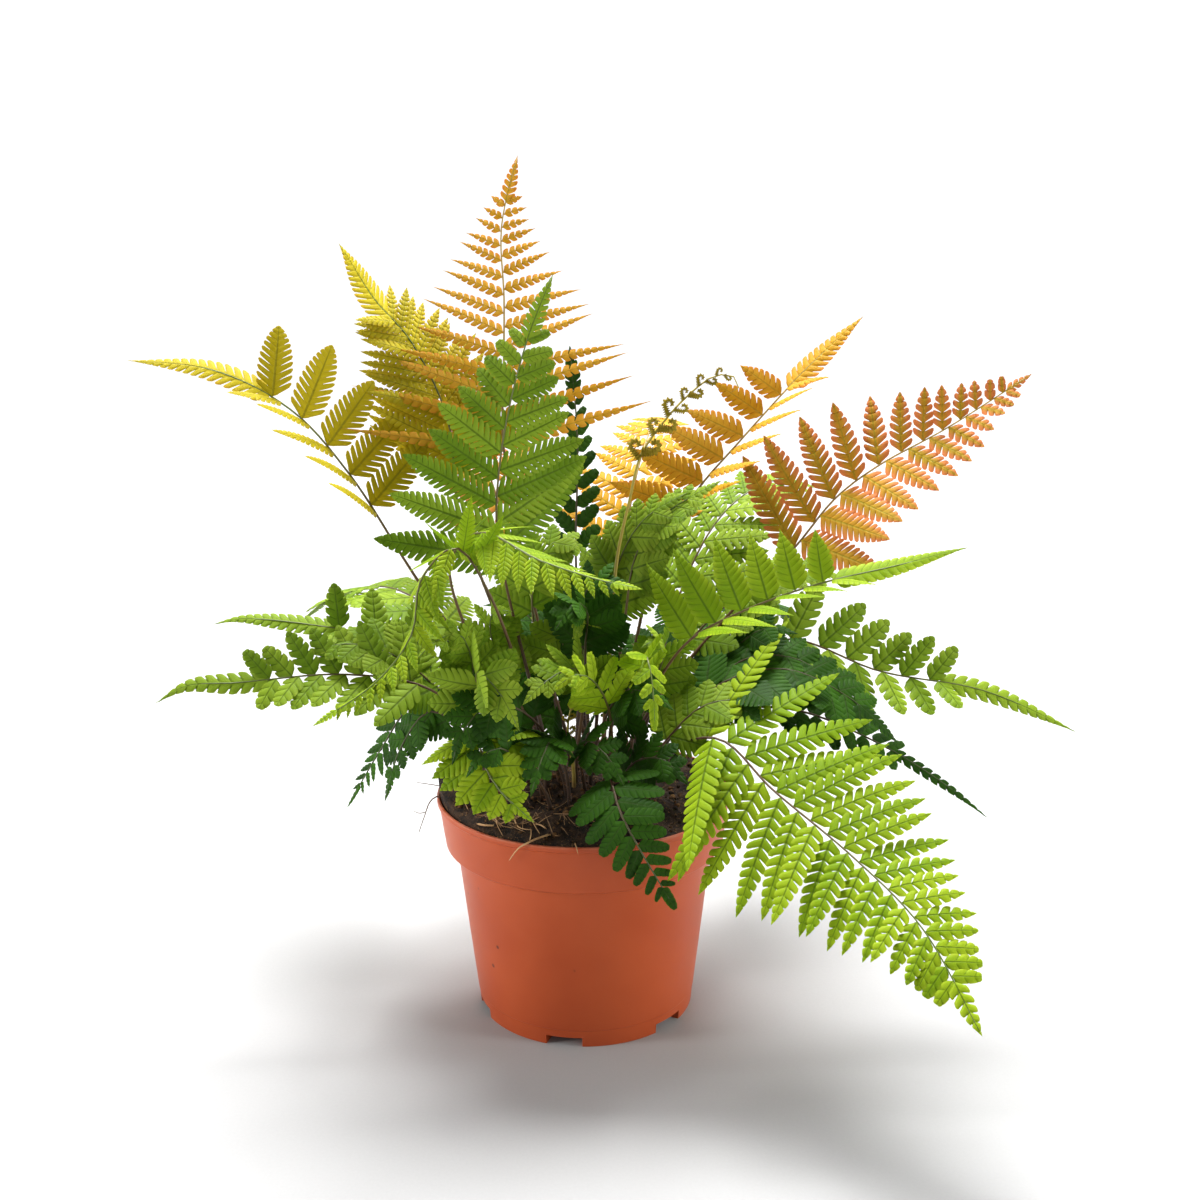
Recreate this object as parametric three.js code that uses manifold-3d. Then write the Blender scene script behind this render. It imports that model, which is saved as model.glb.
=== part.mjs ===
// Potted autumn fern: a young fern with copper, orange, olive and green fronds in a 12 cm pot.
// Millimetres, +Z up. The origin is on the floor under the middle of the pot, and the front is -Y.
import * as THREE from 'three';
import { mergeVertices } from 'three/addons/utils/BufferGeometryUtils.js';
import Module from 'manifold-3d';

const wasm = await Module();
wasm.setup();

// Driving dimensions of the pot
const RIM_DIAMETER = 120;
const POT_HEIGHT = 91.2;
const FOOT_RADIUS = 44.2;
const BODY_TOP_RADIUS = 52.4;
const COLLAR_FOOT_RADIUS = 56.7;
const COLLAR_HEIGHT = 20.3;
const WALL = 1.1;
const RIM_WALL = 1.2;
const FLOOR = 1.4;
const POT_SIDES = 38;
const NOTCHES = 6;
const NOTCH_TURN = -11;
const NOTCH_SPAN = 19;
const NOTCH_HEIGHT = 4;
const NOTCH_DEPTH = 9;
const DRAIN_RADIUS = 3.2;

// Driving dimensions of the soil
const GAP = 0.45;
const SOIL_SIDES = 24;
const BULGE_HEIGHT = 5.5;

// Driving dimensions of the fronds
const STALK_RADIUS = 1.25;
const RIB_RADIUS = 0.85;
const TIP_RADIUS = 0.45;
const STALK_STEP = 24;
const FEWEST_STEPS = 2;
const HOLE_SIDES = 4;
const LEAF_THICKNESS = 1.2;
const LEAF_FILL = 0.46;
const LEAF_DROOP = 0.13;
const LEAF_POINT = 0.75;
const TOOTH_PITCH = 15;
const MOST_TEETH = 3;
const CUT_DEPTH = 0.5;
const SPACING_POWER = 1.2;
const TEST_MARGIN = 0.4;
const TEST_START = 2.5;
const STUB_SHARE = 0.12;
const SHORTENING = [1, 0.8, 0.62, 0.45, 0.3, 0.2];
const TURNS = [0, 12, -12, 24, -24, 38, -38, 52];

// Driving dimensions of the croziers
const CROOK_STEPS = 5;
const COILS_END = 0.9;
const COIL_STEPS = 5;
const COIL_TURN = 1.5 * Math.PI;
const COIL_ARM = 0.3;
const COIL_SIZE = 3.2;
const COIL_ROOT = 0.9;
const COIL_THICKNESS = 0.8;

const vec = (x, y, z) => new THREE.Vector3(x, y, z);
const radians = THREE.MathUtils.degToRad;

// A closed geometry becomes a solid for joining and cutting, and a solid becomes a geometry again
function solidOf(geometry) {
  const bare = geometry.clone();
  bare.deleteAttribute('normal');
  bare.deleteAttribute('uv');
  const merged = mergeVertices(bare, 1e-4);
  return new wasm.Manifold(new wasm.Mesh({
    numProp: 3,
    vertProperties: new Float32Array(merged.attributes.position.array),
    triVerts: new Uint32Array(merged.index.array),
  }));
}

function geometryOf(solid) {
  const mesh = solid.getMesh();
  const geometry = new THREE.BufferGeometry();
  geometry.setAttribute('position', new THREE.BufferAttribute(mesh.vertProperties, 3));
  geometry.setIndex(new THREE.BufferAttribute(mesh.triVerts, 1));
  geometry.computeVertexNormals();
  return geometry;
}

function indexed(positions, faces) {
  const geometry = new THREE.BufferGeometry();
  geometry.setAttribute('position', new THREE.Float32BufferAttribute(positions, 3));
  geometry.setIndex(faces);
  geometry.computeVertexNormals();
  return geometry;
}

function lathe(profile, sides) {
  const points = profile.map(([radius, height]) => new THREE.Vector2(radius, height));
  return new THREE.LatheGeometry(points, sides).rotateX(Math.PI / 2).rotateZ(Math.PI);
}

// Rings of points joined into one closed skin with flat ends, for stems, coils and test bodies
function skin(rings) {
  const positions = [];
  const faces = [];
  const sides = rings[0].length;
  const last = (rings.length - 1) * sides;
  rings.forEach((ring) => ring.forEach((point) => positions.push(...point.toArray())));
  for (let r = 0; r < last; r += sides) {
    for (let k = 0; k < sides; k++) {
      const next = (k + 1) % sides;
      faces.push(r + k, r + next, r + sides + next, r + k, r + sides + next, r + sides + k);
    }
  }
  for (let k = 1; k < sides - 1; k++) {
    faces.push(0, k + 1, k, last, last + k, last + k + 1);
  }
  return indexed(positions, faces);
}

// A way through points, with the direction, the upper side and the right side at any share of it
class Way {
  constructor(points, face) {
    this.curve = new THREE.CatmullRomCurve3(points.map((point) => vec(...point)));
    this.length = this.curve.getLength();
    this.face = vec(...face);
  }

  frame(share) {
    const along = this.curve.getTangentAt(share);
    const above = this.face.clone();
    above.addScaledVector(along, -above.dot(along)).normalize();
    return { at: this.curve.getPointAt(share), along, above, right: along.clone().cross(above) };
  }
}

function roundRing(way, share, radius, sides) {
  const { at, above, right } = way.frame(share);
  return Array.from({ length: sides }, (_, k) => {
    const angle = 2 * Math.PI * k / sides;
    return at.clone().addScaledVector(right, -radius * Math.cos(angle))
      .addScaledVector(above, radius * Math.sin(angle));
  });
}

// The fronds. Each way runs from the stalk's foot in the soil to the tip of the blade.
// blade: where the leaflets begin, as a share of the way. pairs: pairs of leaflets.
// reach: the longest leaflet. face: which way the upper side looks. swing: the angle of a
// leaflet to the midrib. taper: how early the leaflets shorten. lift: how far they rise from flat.
const copper = 0xcf7a3e;
const orange = 0xdb9433;
const olive = 0xb6a32c;
const fresh = 0x8fb52e;
const leaf = 0x5f8f2c;
const deep = 0x35591f;

const fronds = [
  {
    name: 'frond_broad_front_right', colour: fresh,
    way: [[18, -14, 88], [24, -18, 108], [51, -38, 126], [70, -58, 113], [96, -86, 98],
      [115, -112, 84], [130, -140, 59]],
    blade: 0.25, pairs: 13, reach: 60, face: [-0.22, -0.63, 0.75], swing: 74, taper: 1,
  },
  {
    name: 'frond_tall_green', colour: leaf,
    way: [[-12, 2, 88], [-16, 2, 112], [-33, 2, 196], [-32, 4, 222], [-27, 8, 249],
      [-20, 14, 273], [-10, 20, 297]],
    blade: 0.45, pairs: 9, reach: 53, face: [0.2, -0.45, 0.87], swing: 66, taper: 1.4,
  },
  {
    name: 'frond_tall_orange', colour: orange,
    way: [[-8, 18, 88], [-10, 19, 112], [-31, 24, 225], [-31, 34, 262], [-31, 44, 286],
      [-32, 54, 314], [-25, 60, 343]],
    blade: 0.52, pairs: 11, reach: 64, face: [0.08, -0.5, 0.86], swing: 76, taper: 1.4,
  },
  {
    name: 'frond_right_salmon', colour: copper,
    way: [[18, 10, 88], [22, 10, 112], [58, 12, 160], [85, 14, 188], [101, 12, 209],
      [117, 10, 222], [142, 6, 237], [173, 0, 259]],
    blade: 0.5, pairs: 9, reach: 46, face: [-0.42, -0.79, 0.45], swing: 72, taper: 1, lift: 24,
  },
  {
    name: 'frond_right_light_green', colour: fresh,
    way: [[13, -6, 88], [15, -8, 110], [28, -22, 142], [41, -28, 162], [61, -34, 175],
      [86, -40, 186], [117, -46, 195], [140, -50, 202]],
    blade: 0.42, pairs: 8, reach: 40, face: [-0.42, -0.58, 0.7], swing: 90, taper: 1, lift: 38,
  },
  {
    name: 'frond_right_orange', colour: orange,
    way: [[14, 20, 88], [16, 22, 112], [31, 30, 181], [47, 34, 208], [64, 38, 227],
      [79, 42, 243], [92, 46, 256], [117, 52, 278]],
    blade: 0.5, pairs: 6, reach: 35, face: [-0.44, -0.69, 0.57], swing: 90, taper: 0.7, lift: 36,
  },
  {
    name: 'frond_upper_left_olive', colour: olive,
    way: [[-18, 22, 88], [-20, 23, 112], [-50, 28, 200], [-54, 30, 239], [-69, 38, 270],
      [-83, 40, 286], [-97, 42, 309]],
    blade: 0.55, pairs: 9, reach: 40, face: [0, -0.4, 0.9], swing: 64, taper: 0.95,
  },
  {
    name: 'frond_far_left_gold', colour: olive,
    way: [[-25, 12, 88], [-28, 13, 110], [-70, 18, 180], [-93, 16, 220], [-113, 12, 245],
      [-140, 6, 261], [-173, 0, 266]],
    blade: 0.5, pairs: 6, reach: 40, face: [0.64, -0.62, 0.45], swing: 64, taper: 0.9, lift: 38,
  },
  {
    name: 'frond_arching_front', colour: fresh,
    way: [[-19, -6, 88], [-22, -8, 110], [-44, -14, 160], [-50, -18, 190], [-38, -28, 204],
      [-14, -50, 198], [6, -58, 193], [23, -62, 190]],
    blade: 0.55, pairs: 7, reach: 24, face: [0.1, -0.5, 0.85], swing: 60,
  },
  {
    name: 'frond_drooping_front_left', colour: fresh,
    way: [[-14, -14, 88], [-16, -17, 110], [-34, -30, 180], [-46, -36, 200], [-58, -42, 190],
      [-62, -46, 170], [-73, -56, 156], [-97, -66, 141]],
    blade: 0.5, pairs: 8, reach: 26, face: [-0.7, -0.6, 0.4], swing: 55,
  },
  {
    name: 'frond_far_right_green', colour: leaf,
    way: [[26, 4, 88], [29, 4, 108], [60, 4, 145], [83, 4, 153], [119, 2, 140],
      [161, -4, 133], [196, -12, 118]],
    blade: 0.36, pairs: 9, reach: 30, face: [0.1, -0.77, 0.63], swing: 66, lift: 26,
  },
  {
    name: 'frond_left_green', colour: leaf,
    way: [[-29, 3, 88], [-32, 4, 108], [-60, 10, 142], [-83, 10, 153], [-104, 6, 159],
      [-135, 0, 164], [-147, -2, 162]],
    blade: 0.42, pairs: 5, reach: 25, face: [0.33, -0.61, 0.72], swing: 76, lift: 34,
  },
  {
    name: 'frond_low_left_green', colour: leaf,
    way: [[-27, -8, 88], [-30, -9, 107], [-60, -12, 138], [-92, -14, 145], [-133, -24, 145],
      [-151, -28, 145], [-163, -32, 139]],
    blade: 0.38, pairs: 8, reach: 26, face: [0.19, -0.78, 0.6], swing: 64, lift: 20,
  },
  {
    name: 'frond_fresh_front', colour: fresh,
    way: [[-33, -14, 88], [-34, -16, 112], [-38, -26, 127], [-39, -41, 129], [-36, -52, 121],
      [-30, -60, 114], [-23, -65, 109], [-17, -69, 105]],
    blade: 0.52, pairs: 4, reach: 22, face: [-0.1, -0.75, 0.6], swing: 75,
  },
  {
    name: 'frond_over_front_rim', colour: deep,
    way: [[6, -28, 88], [7, -32, 104], [10, -46, 114], [14, -62, 106], [22, -68, 92],
      [34, -72, 72]],
    blade: 0.35, pairs: 6, reach: 19, face: [-0.1, -0.8, 0.6], swing: 62,
  },
  {
    name: 'frond_hanging_left', colour: deep,
    way: [[-34, 12, 88], [-37, 12, 107], [-55, 14, 126], [-70, 12, 124], [-84, 10, 105],
      [-98, 4, 82]],
    blade: 0.42, pairs: 6, reach: 24, face: [-0.7, -0.5, 0.5], swing: 60,
  },
  {
    name: 'frond_centre_dark', colour: deep,
    way: [[-6, -20, 88], [-8, -23, 106], [-20, -34, 134], [-34, -44, 142], [-44, -52, 134],
      [-48, -56, 122]],
    blade: 0.45, pairs: 5, reach: 22, face: [-0.1, -0.8, 0.6], swing: 62,
  },
  {
    name: 'frond_centre_light', colour: fresh,
    way: [[10, -18, 88], [11, -21, 106], [10, -32, 136], [4, -40, 150], [-2, -46, 154],
      [-10, -50, 150]],
    blade: 0.55, pairs: 4, reach: 17, face: [0, -0.8, 0.6], swing: 60,
  },
  {
    name: 'frond_back_dark', colour: deep,
    way: [[0, 26, 88], [0, 28, 112], [-3, 40, 178], [-2, 52, 227], [-5, 62, 266]],
    blade: 0.5, pairs: 8, reach: 22, face: [0, -0.9, 0.4], swing: 50,
  },
  {
    name: 'frond_back_right_green', colour: leaf,
    way: [[24, 24, 88], [26, 26, 110], [44, 44, 170], [62, 58, 196], [84, 72, 206],
      [106, 84, 200]],
    blade: 0.45, pairs: 8, reach: 36, face: [-0.3, -0.4, 0.85], swing: 66,
  },
  {
    name: 'frond_right_dark', colour: deep,
    way: [[27, -8, 88], [30, -9, 108], [52, -12, 138], [78, -14, 146], [104, -22, 136],
      [122, -30, 120]],
    blade: 0.36, pairs: 8, reach: 32, face: [-0.1, -0.3, 0.95], swing: 66,
  },
  {
    name: 'frond_centre_mid', colour: leaf,
    way: [[-9, -10, 88], [-12, -13, 108], [-40, -22, 141], [-42, -30, 157], [-46, -38, 168],
      [-55, -44, 166]],
    blade: 0.6, pairs: 4, reach: 17, face: [0.3, -0.8, 0.5], swing: 62,
  },
  {
    name: 'frond_centre_right', colour: fresh,
    way: [[16, -16, 88], [18, -18, 108], [22, -24, 141], [24, -34, 158], [26, -44, 151],
      [27, -50, 133]],
    blade: 0.52, pairs: 5, reach: 15, face: [0.5, -0.8, 0.3], swing: 60,
  },
  {
    name: 'frond_low_front', colour: deep,
    way: [[-5, -27, 88], [-6, -29, 106], [-9, -34, 122], [-11, -42, 128], [-15, -54, 124],
      [-19, -62, 112]],
    blade: 0.42, pairs: 4, reach: 17, face: [0, -0.6, 0.8], swing: 62,
  },
  {
    name: 'frond_low_left', colour: deep,
    way: [[-35, 1, 88], [-37, 1, 107], [-51, -3, 121], [-62, 0, 125], [-74, -2, 110],
      [-81, -6, 88]],
    blade: 0.42, pairs: 5, reach: 17, face: [-0.6, -0.6, 0.5], swing: 60,
  },
  {
    name: 'frond_inner_dark', colour: deep,
    way: [[2, 0, 88], [2, -1, 110], [1, -6, 152], [2, -14, 170], [-3, -22, 175], [-11, -30, 165]],
    blade: 0.58, pairs: 5, reach: 20, face: [0, -0.7, 0.7], swing: 62,
  },
  {
    name: 'frond_inner_olive', colour: leaf,
    way: [[-5, 10, 88], [-7, 10, 110], [-20, 11, 160], [-18, 13, 184], [-8, 15, 192],
      [6, 13, 184]],
    blade: 0.58, pairs: 5, reach: 22, face: [0, -0.5, 0.85], swing: 62,
  },
  {
    name: 'frond_inner_right', colour: leaf,
    way: [[9, 14, 88], [11, 15, 110], [17, 16, 158], [22, 16, 186], [33, 14, 202], [56, 10, 217]],
    blade: 0.55, pairs: 7, reach: 22, face: [-0.4, -0.6, 0.7], swing: 60,
  },
  {
    name: 'frond_low_right_dark', colour: deep,
    way: [[24, -3, 88], [27, -3, 107], [47, -3, 132], [66, -5, 148], [86, -10, 148],
      [104, -18, 134]],
    blade: 0.45, pairs: 5, reach: 24, face: [-0.1, -0.5, 0.85], swing: 64,
  },
  {
    name: 'frond_left_cluster', colour: leaf,
    way: [[-24, -1, 88], [-28, -1, 108], [-58, -3, 136], [-76, -6, 151], [-93, -9, 156],
      [-112, -12, 152]],
    blade: 0.48, pairs: 5, reach: 24, face: [0.1, -0.5, 0.85], swing: 62,
  },
  {
    name: 'frond_low_right', colour: leaf,
    way: [[20, -24, 88], [22, -27, 106], [33, -26, 122], [46, -24, 134], [60, -26, 137],
      [74, -30, 130]],
    blade: 0.4, pairs: 5, reach: 20, face: [-0.2, -0.5, 0.85], swing: 62,
  },
  {
    name: 'frond_behind_right', colour: deep,
    way: [[31, 0, 88], [35, 0, 106], [60, 0, 124], [84, -4, 126], [114, -12, 116],
      [140, -22, 102], [158, -30, 89]],
    blade: 0.4, pairs: 7, reach: 20, face: [-0.1, -0.4, 0.9], swing: 64,
  },
  {
    name: 'frond_upper_right_inner', colour: leaf,
    way: [[22, 16, 88], [24, 17, 108], [42, 18, 146], [64, 20, 167], [88, 22, 178],
      [110, 24, 172]],
    blade: 0.42, pairs: 6, reach: 28, face: [-0.3, -0.4, 0.85], swing: 64,
  },
  {
    name: 'frond_back_left_copper', colour: copper,
    way: [[-14, 30, 88], [-15, 33, 112], [-34, 60, 190], [-48, 82, 224], [-66, 106, 240],
      [-84, 130, 240]],
    blade: 0.46, pairs: 7, reach: 40, face: [0.4, -0.5, 0.75], swing: 68,
  },
  {
    name: 'frond_back_orange', colour: orange,
    way: [[8, 32, 88], [9, 35, 112], [18, 64, 182], [26, 92, 214], [34, 122, 226],
      [42, 150, 222]],
    blade: 0.46, pairs: 7, reach: 38, face: [-0.1, -0.6, 0.8], swing: 68,
  },
  {
    name: 'frond_back_left_green', colour: leaf,
    way: [[-28, 22, 88], [-31, 25, 108], [-58, 46, 148], [-84, 66, 160], [-112, 88, 152],
      [-134, 106, 134]],
    blade: 0.38, pairs: 6, reach: 36, face: [0.3, -0.3, 0.9], swing: 66,
  },
  {
    name: 'frond_back_green', colour: leaf,
    way: [[-2, 36, 88], [-3, 39, 108], [-8, 70, 146], [-12, 100, 156], [-18, 132, 146],
      [-24, 158, 124]],
    blade: 0.38, pairs: 6, reach: 36, face: [0, -0.3, 0.95], swing: 66,
  },
  {
    name: 'frond_back_right_deep', colour: deep,
    way: [[22, 34, 88], [25, 37, 108], [46, 66, 140], [66, 92, 148], [88, 120, 138],
      [106, 142, 118]],
    blade: 0.38, pairs: 6, reach: 36, face: [-0.2, -0.3, 0.93], swing: 66,
  },
  {
    name: 'frond_middle_low', colour: deep,
    way: [[3, -9, 88], [3, -11, 106], [10, -17, 130], [16, -29, 142], [26, -38, 144], [35, -42, 138]],
    blade: 0.45, pairs: 4, reach: 22, face: [0, -0.7, 0.7], swing: 62,
  },
  {
    name: 'frond_low_middle', colour: deep,
    way: [[1, -17, 88], [0, -20, 104], [-2, -30, 120], [2, -40, 126], [10, -48, 122], [16, -54, 112]],
    blade: 0.4, pairs: 4, reach: 18, face: [-0.1, -0.7, 0.7], swing: 62,
  },
  {
    name: 'frond_inner_low_right', colour: deep,
    way: [[13, -25, 88], [14, -28, 103], [20, -36, 116], [30, -44, 120], [40, -52, 112]],
    blade: 0.35, pairs: 4, reach: 18, face: [-0.1, -0.7, 0.7], swing: 62,
  },
  {
    name: 'frond_gap_left', colour: leaf,
    way: [[-16, 8, 88], [-19, 6, 108], [-30, 0, 140], [-36, -6, 158], [-34, -14, 170], [-26, -22, 172]],
    blade: 0.5, pairs: 5, reach: 20, face: [-0.1, -0.7, 0.7], swing: 62,
  },
  {
    name: 'frond_gap_middle', colour: leaf,
    way: [[0, 17, 88], [0, 15, 108], [-6, 8, 140], [-8, 2, 158], [-2, -6, 166], [8, -12, 162]],
    blade: 0.5, pairs: 4, reach: 22, face: [0, -0.7, 0.7], swing: 62,
  },
  {
    name: 'frond_gap_right', colour: leaf,
    way: [[16, 2, 88], [18, 0, 108], [28, -4, 136], [32, -10, 152], [30, -18, 160], [22, -26, 158]],
    blade: 0.5, pairs: 4, reach: 20, face: [0.1, -0.7, 0.7], swing: 62,
  },
  {
    name: 'frond_gap_back', colour: deep,
    way: [[-8, 26, 88], [-8, 28, 106], [-12, 32, 120], [-18, 38, 146], [-30, 44, 158], [-44, 50, 156]],
    blade: 0.4, pairs: 5, reach: 24, face: [0.1, -0.6, 0.8], swing: 62,
  },
  {
    name: 'frond_gap_back_right', colour: deep,
    way: [[15, 28, 88], [17, 31, 108], [26, 40, 134], [38, 50, 144], [52, 58, 140]],
    blade: 0.4, pairs: 5, reach: 26, face: [-0.1, -0.6, 0.8], swing: 62,
  },
  {
    name: 'frond_lower_left', colour: leaf,
    way: [[-15, -21, 88], [-18, -24, 106], [-30, -32, 131], [-39, -42, 150], [-37, -52, 157],
      [-29, -60, 151], [-22, -64, 138]],
    blade: 0.5, pairs: 4, reach: 24, face: [-0.2, -0.85, 0.5], swing: 62,
  },
  {
    name: 'frond_lower_middle', colour: leaf,
    way: [[-3, -6, 88], [-3, -8, 106], [0, -13, 132], [-1, -22, 148], [-8, -36, 152],
      [-16, -46, 149], [-22, -52, 144]],
    blade: 0.5, pairs: 5, reach: 18, face: [0.1, -0.8, 0.6], swing: 62,
  },
  {
    name: 'frond_soil_left', colour: deep,
    way: [[-12, -30, 88], [-14, -34, 102], [-23, -44, 119], [-30, -50, 127], [-37, -56, 126],
      [-43, -58, 118]],
    blade: 0.4, pairs: 4, reach: 16, face: [-0.1, -0.8, 0.6], swing: 62,
  },
  {
    name: 'frond_right_inner', colour: deep,
    way: [[31, 11, 88], [34, 12, 106], [52, 12, 129], [61, 6, 148], [72, -2, 159], [85, -10, 159]],
    blade: 0.42, pairs: 5, reach: 26, face: [-0.2, -0.6, 0.75], swing: 62,
  },
  {
    name: 'frond_inner_left', colour: leaf,
    way: [[-21, 5, 88], [-25, 5, 106], [-38, 4, 128], [-48, -4, 150], [-55, -14, 159], [-64, -22, 153]],
    blade: 0.45, pairs: 4, reach: 20, face: [0.1, -0.7, 0.7], swing: 62,
  },
  {
    name: 'frond_upper_middle', colour: leaf,
    way: [[4, 21, 88], [5, 22, 110], [10, 22, 157], [15, 20, 182], [25, 16, 200], [43, 12, 212]],
    blade: 0.5, pairs: 6, reach: 26, face: [-0.2, -0.7, 0.7], swing: 62,
  },
  {
    name: 'frond_centre_back', colour: deep,
    way: [[-3, 4, 88], [-3, 3, 108], [0, 2, 154], [0, -2, 171], [7, -8, 181], [22, -12, 178]],
    blade: 0.5, pairs: 5, reach: 22, face: [0, -0.7, 0.7], swing: 62,
  },
];

// The croziers: young fronds still rolled up, with a coil at the end of each and of every leaflet
const croziers = [
  {
    name: 'crozier_tall', coils: 5, blade: 0.66, face: [0, -1, 0.2],
    way: [[7, 8, 88], [8, 8, 110], [11, 8, 150], [14, 8, 186], [19, 6, 210], [23, 4, 227],
      [29, 2, 237], [41, 0, 251], [52, -2, 259], [59, -3, 258], [60, -3, 253], [56, -3, 252]],
  },
  {
    name: 'crozier_low', coils: 2, blade: 0.45, face: [0, -1, 0.2],
    way: [[-4, -14, 88], [-4, -15, 106], [-6, -18, 122], [-4, -21, 133], [2, -23, 136],
      [5, -23, 131], [1, -23, 128]],
  },
];

// Where a leaflet starts and points, and how wide it is along its length
function leafletPlan(way, share, side, swingDegrees, liftDegrees, length, width) {
  const swing = radians(swingDegrees);
  const lift = radians(liftDegrees);
  const root = Math.min(RIB_RADIUS / length, 0.25);
  const { at, along, above, right } = way.frame(share);
  const outward = right.clone().multiplyScalar(side * Math.cos(lift))
    .addScaledVector(above, Math.sin(lift));
  const normal = above.clone().multiplyScalar(Math.cos(lift))
    .addScaledVector(right, -side * Math.sin(lift));
  const direction = outward.multiplyScalar(Math.sin(swing)).addScaledVector(along, Math.cos(swing));
  const forward = along.clone().addScaledVector(direction, -along.dot(direction)).normalize();
  const spine = (s) => at.clone().addScaledVector(direction, length * s)
    .addScaledVector(normal, -LEAF_DROOP * length * s * s);
  const point = (s, across, raise) => spine(s).addScaledVector(forward, across)
    .addScaledVector(normal, raise);
  const breadth = (s) => width * Math.pow(1 - s, LEAF_POINT) * (1 + 0.6 * s);
  return { point, breadth, root, side };
}

// A plump body round a leaflet, which finds out what the leaflet would touch
function leafletBody({ point, breadth, side }, start) {
  const rings = [start, 0.4, 0.75, 1].map((s) => {
    const half = breadth(s) + TEST_MARGIN;
    const raise = LEAF_THICKNESS / 2 + TEST_MARGIN;
    return [point(s, -half * side, -raise), point(s, half * side, -raise),
      point(s, half * side, raise), point(s, -half * side, raise)];
  });
  return solidOf(skin(rings));
}

function stalkRadius(share, blade) {
  const along = Math.min(share / blade, 1);
  if (share < blade) {
    return THREE.MathUtils.lerp(STALK_RADIUS, RIB_RADIUS, along);
  }
  return THREE.MathUtils.lerp(RIB_RADIUS, TIP_RADIUS, (share - blade) / (1 - blade));
}

// The sections of a bare stalk, below its first leaflets
function stalkShares(way, blade) {
  const steps = Math.max(Math.round(way.length * blade / STALK_STEP), FEWEST_STEPS);
  return Array.from({ length: steps }, (_, k) => blade * k / steps);
}

// One frond is one closed skin. Its upper and lower sheets share the outline, and part from
// each other at the ribs, so both are split into the same triangles.
class FrondSkin {
  constructor() {
    this.positions = [];
    this.faces = [];
  }

  corner(point) {
    this.positions.push(...point.toArray());
    return this.positions.length / 3 - 1;
  }

  edge(point) {
    const index = this.corner(point);
    return { top: index, low: index };
  }

  ridge(point, above, raise) {
    return {
      top: this.corner(point.clone().addScaledVector(above, raise)),
      low: this.corner(point.clone().addScaledVector(above, -raise)),
    };
  }

  face(side, a, b, c) {
    const [p, q, r] = side > 0 ? [a, b, c] : [a, c, b];
    this.faces.push(p.top, q.top, r.top, p.low, r.low, q.low);
  }

  closeFoot(foot) {
    this.faces.push(foot.ridge.top, foot.left.top, foot.ridge.low);
    this.faces.push(foot.ridge.top, foot.ridge.low, foot.right.top);
  }

  closeTip(end, tip) {
    this.face(1, end.ridge, end.right, tip);
    this.face(-1, end.ridge, end.left, tip);
  }

  geometry() {
    return indexed(this.positions, this.faces);
  }
}

function addLeaflet(frond, side, near, far, plan, teeth) {
  const { point, breadth } = plan;
  const raise = (s) => LEAF_THICKNESS / 2 * (1 - 0.3 * s);
  const spine = (s, lift) => point(s, 0, lift);
  const ridgeAt = (s) => ({
    top: frond.corner(spine(s, raise(s))),
    low: frond.corner(spine(s, -raise(s))),
  });
  const ridges = Array.from({ length: teeth }, (_, j) => ridgeAt(Math.max(j / teeth, plan.root)));
  const apex = frond.edge(spine(1, 0));
  frond.face(side, near.ridge, ridges[0], far.ridge);
  frond.face(side, near.ridge, near.edge, ridges[0]);
  frond.face(side, far.ridge, ridges[0], far.edge);
  [-1, 1].forEach((flank) => {
    let valley = flank < 0 ? near.edge : far.edge;
    const turn = flank < 0 ? side : -side;
    for (let j = 0; j < teeth; j++) {
      const tipShare = (j + 0.62) / teeth;
      const tip = frond.edge(point(tipShare, flank * breadth(tipShare), 0));
      const nextRidge = j < teeth - 1 ? ridges[j + 1] : apex;
      frond.face(turn, ridges[j], valley, tip);
      frond.face(turn, ridges[j], tip, nextRidge);
      if (j < teeth - 1) {
        const share = (j + 1) / teeth;
        valley = frond.edge(point(share, flank * breadth(share) * CUT_DEPTH, 0));
        frond.face(turn, nextRidge, tip, valley);
      }
    }
  });
}

function frondGeometry(spec) {
  const way = new Way(spec.way, spec.face);
  const frond = new FrondSkin();
  const station = (share) => {
    const { at, above, right } = way.frame(share);
    const radius = stalkRadius(share, spec.blade);
    return {
      share,
      ridge: frond.ridge(at, above, radius),
      left: frond.edge(at.clone().addScaledVector(right, -radius)),
      right: frond.edge(at.clone().addScaledVector(right, radius)),
    };
  };
  const stations = stalkShares(way, spec.blade).map(station);
  const stalkSteps = stations.length;
  for (let k = 0; k <= spec.pairs; k++) {
    const rest = Math.pow(1 - k / (spec.pairs + 1), SPACING_POWER);
    stations.push(station(1 - (1 - spec.blade) * rest));
  }
  const tip = frond.edge(way.curve.getPointAt(1));
  frond.closeFoot(stations[0]);
  stations.slice(1).forEach((next, k) => {
    const back = stations[k];
    [-1, 1].forEach((side) => {
      const edge = side > 0 ? 'right' : 'left';
      if (k < stalkSteps) {
        frond.face(side, back.ridge, back[edge], next[edge]);
        frond.face(side, back.ridge, next[edge], next.ridge);
        return;
      }
      const middle = (back.share + next.share) / 2;
      const left = (1 - middle) / (1 - spec.blade);
      const fullness = Math.pow(left, spec.taper ?? 0.85) * (1 + 0.25 * (1 - left));
      const spacing = (next.share - back.share) * way.length;
      const width = LEAF_FILL * spacing * Math.sin(radians(spec.swing));
      const { length, lift } = fitLeaflet(spec, way, middle, side, spec.reach * fullness, width);
      const teeth = THREE.MathUtils.clamp(Math.round(length / TOOTH_PITCH), 1, MOST_TEETH);
      const plan = leafletPlan(way, middle, side, spec.swing, lift, length, width);
      addLeaflet(
        frond, side, { ridge: back.ridge, edge: back[edge] },
        { ridge: next.ridge, edge: next[edge] }, plan, teeth,
      );
    });
  });
  frond.closeTip(stations[stations.length - 1], tip);
  return frond.geometry();
}

// Bodies already in place: all the stalks and ribs first, then each leaflet as it is made
const placed = [];

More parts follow.
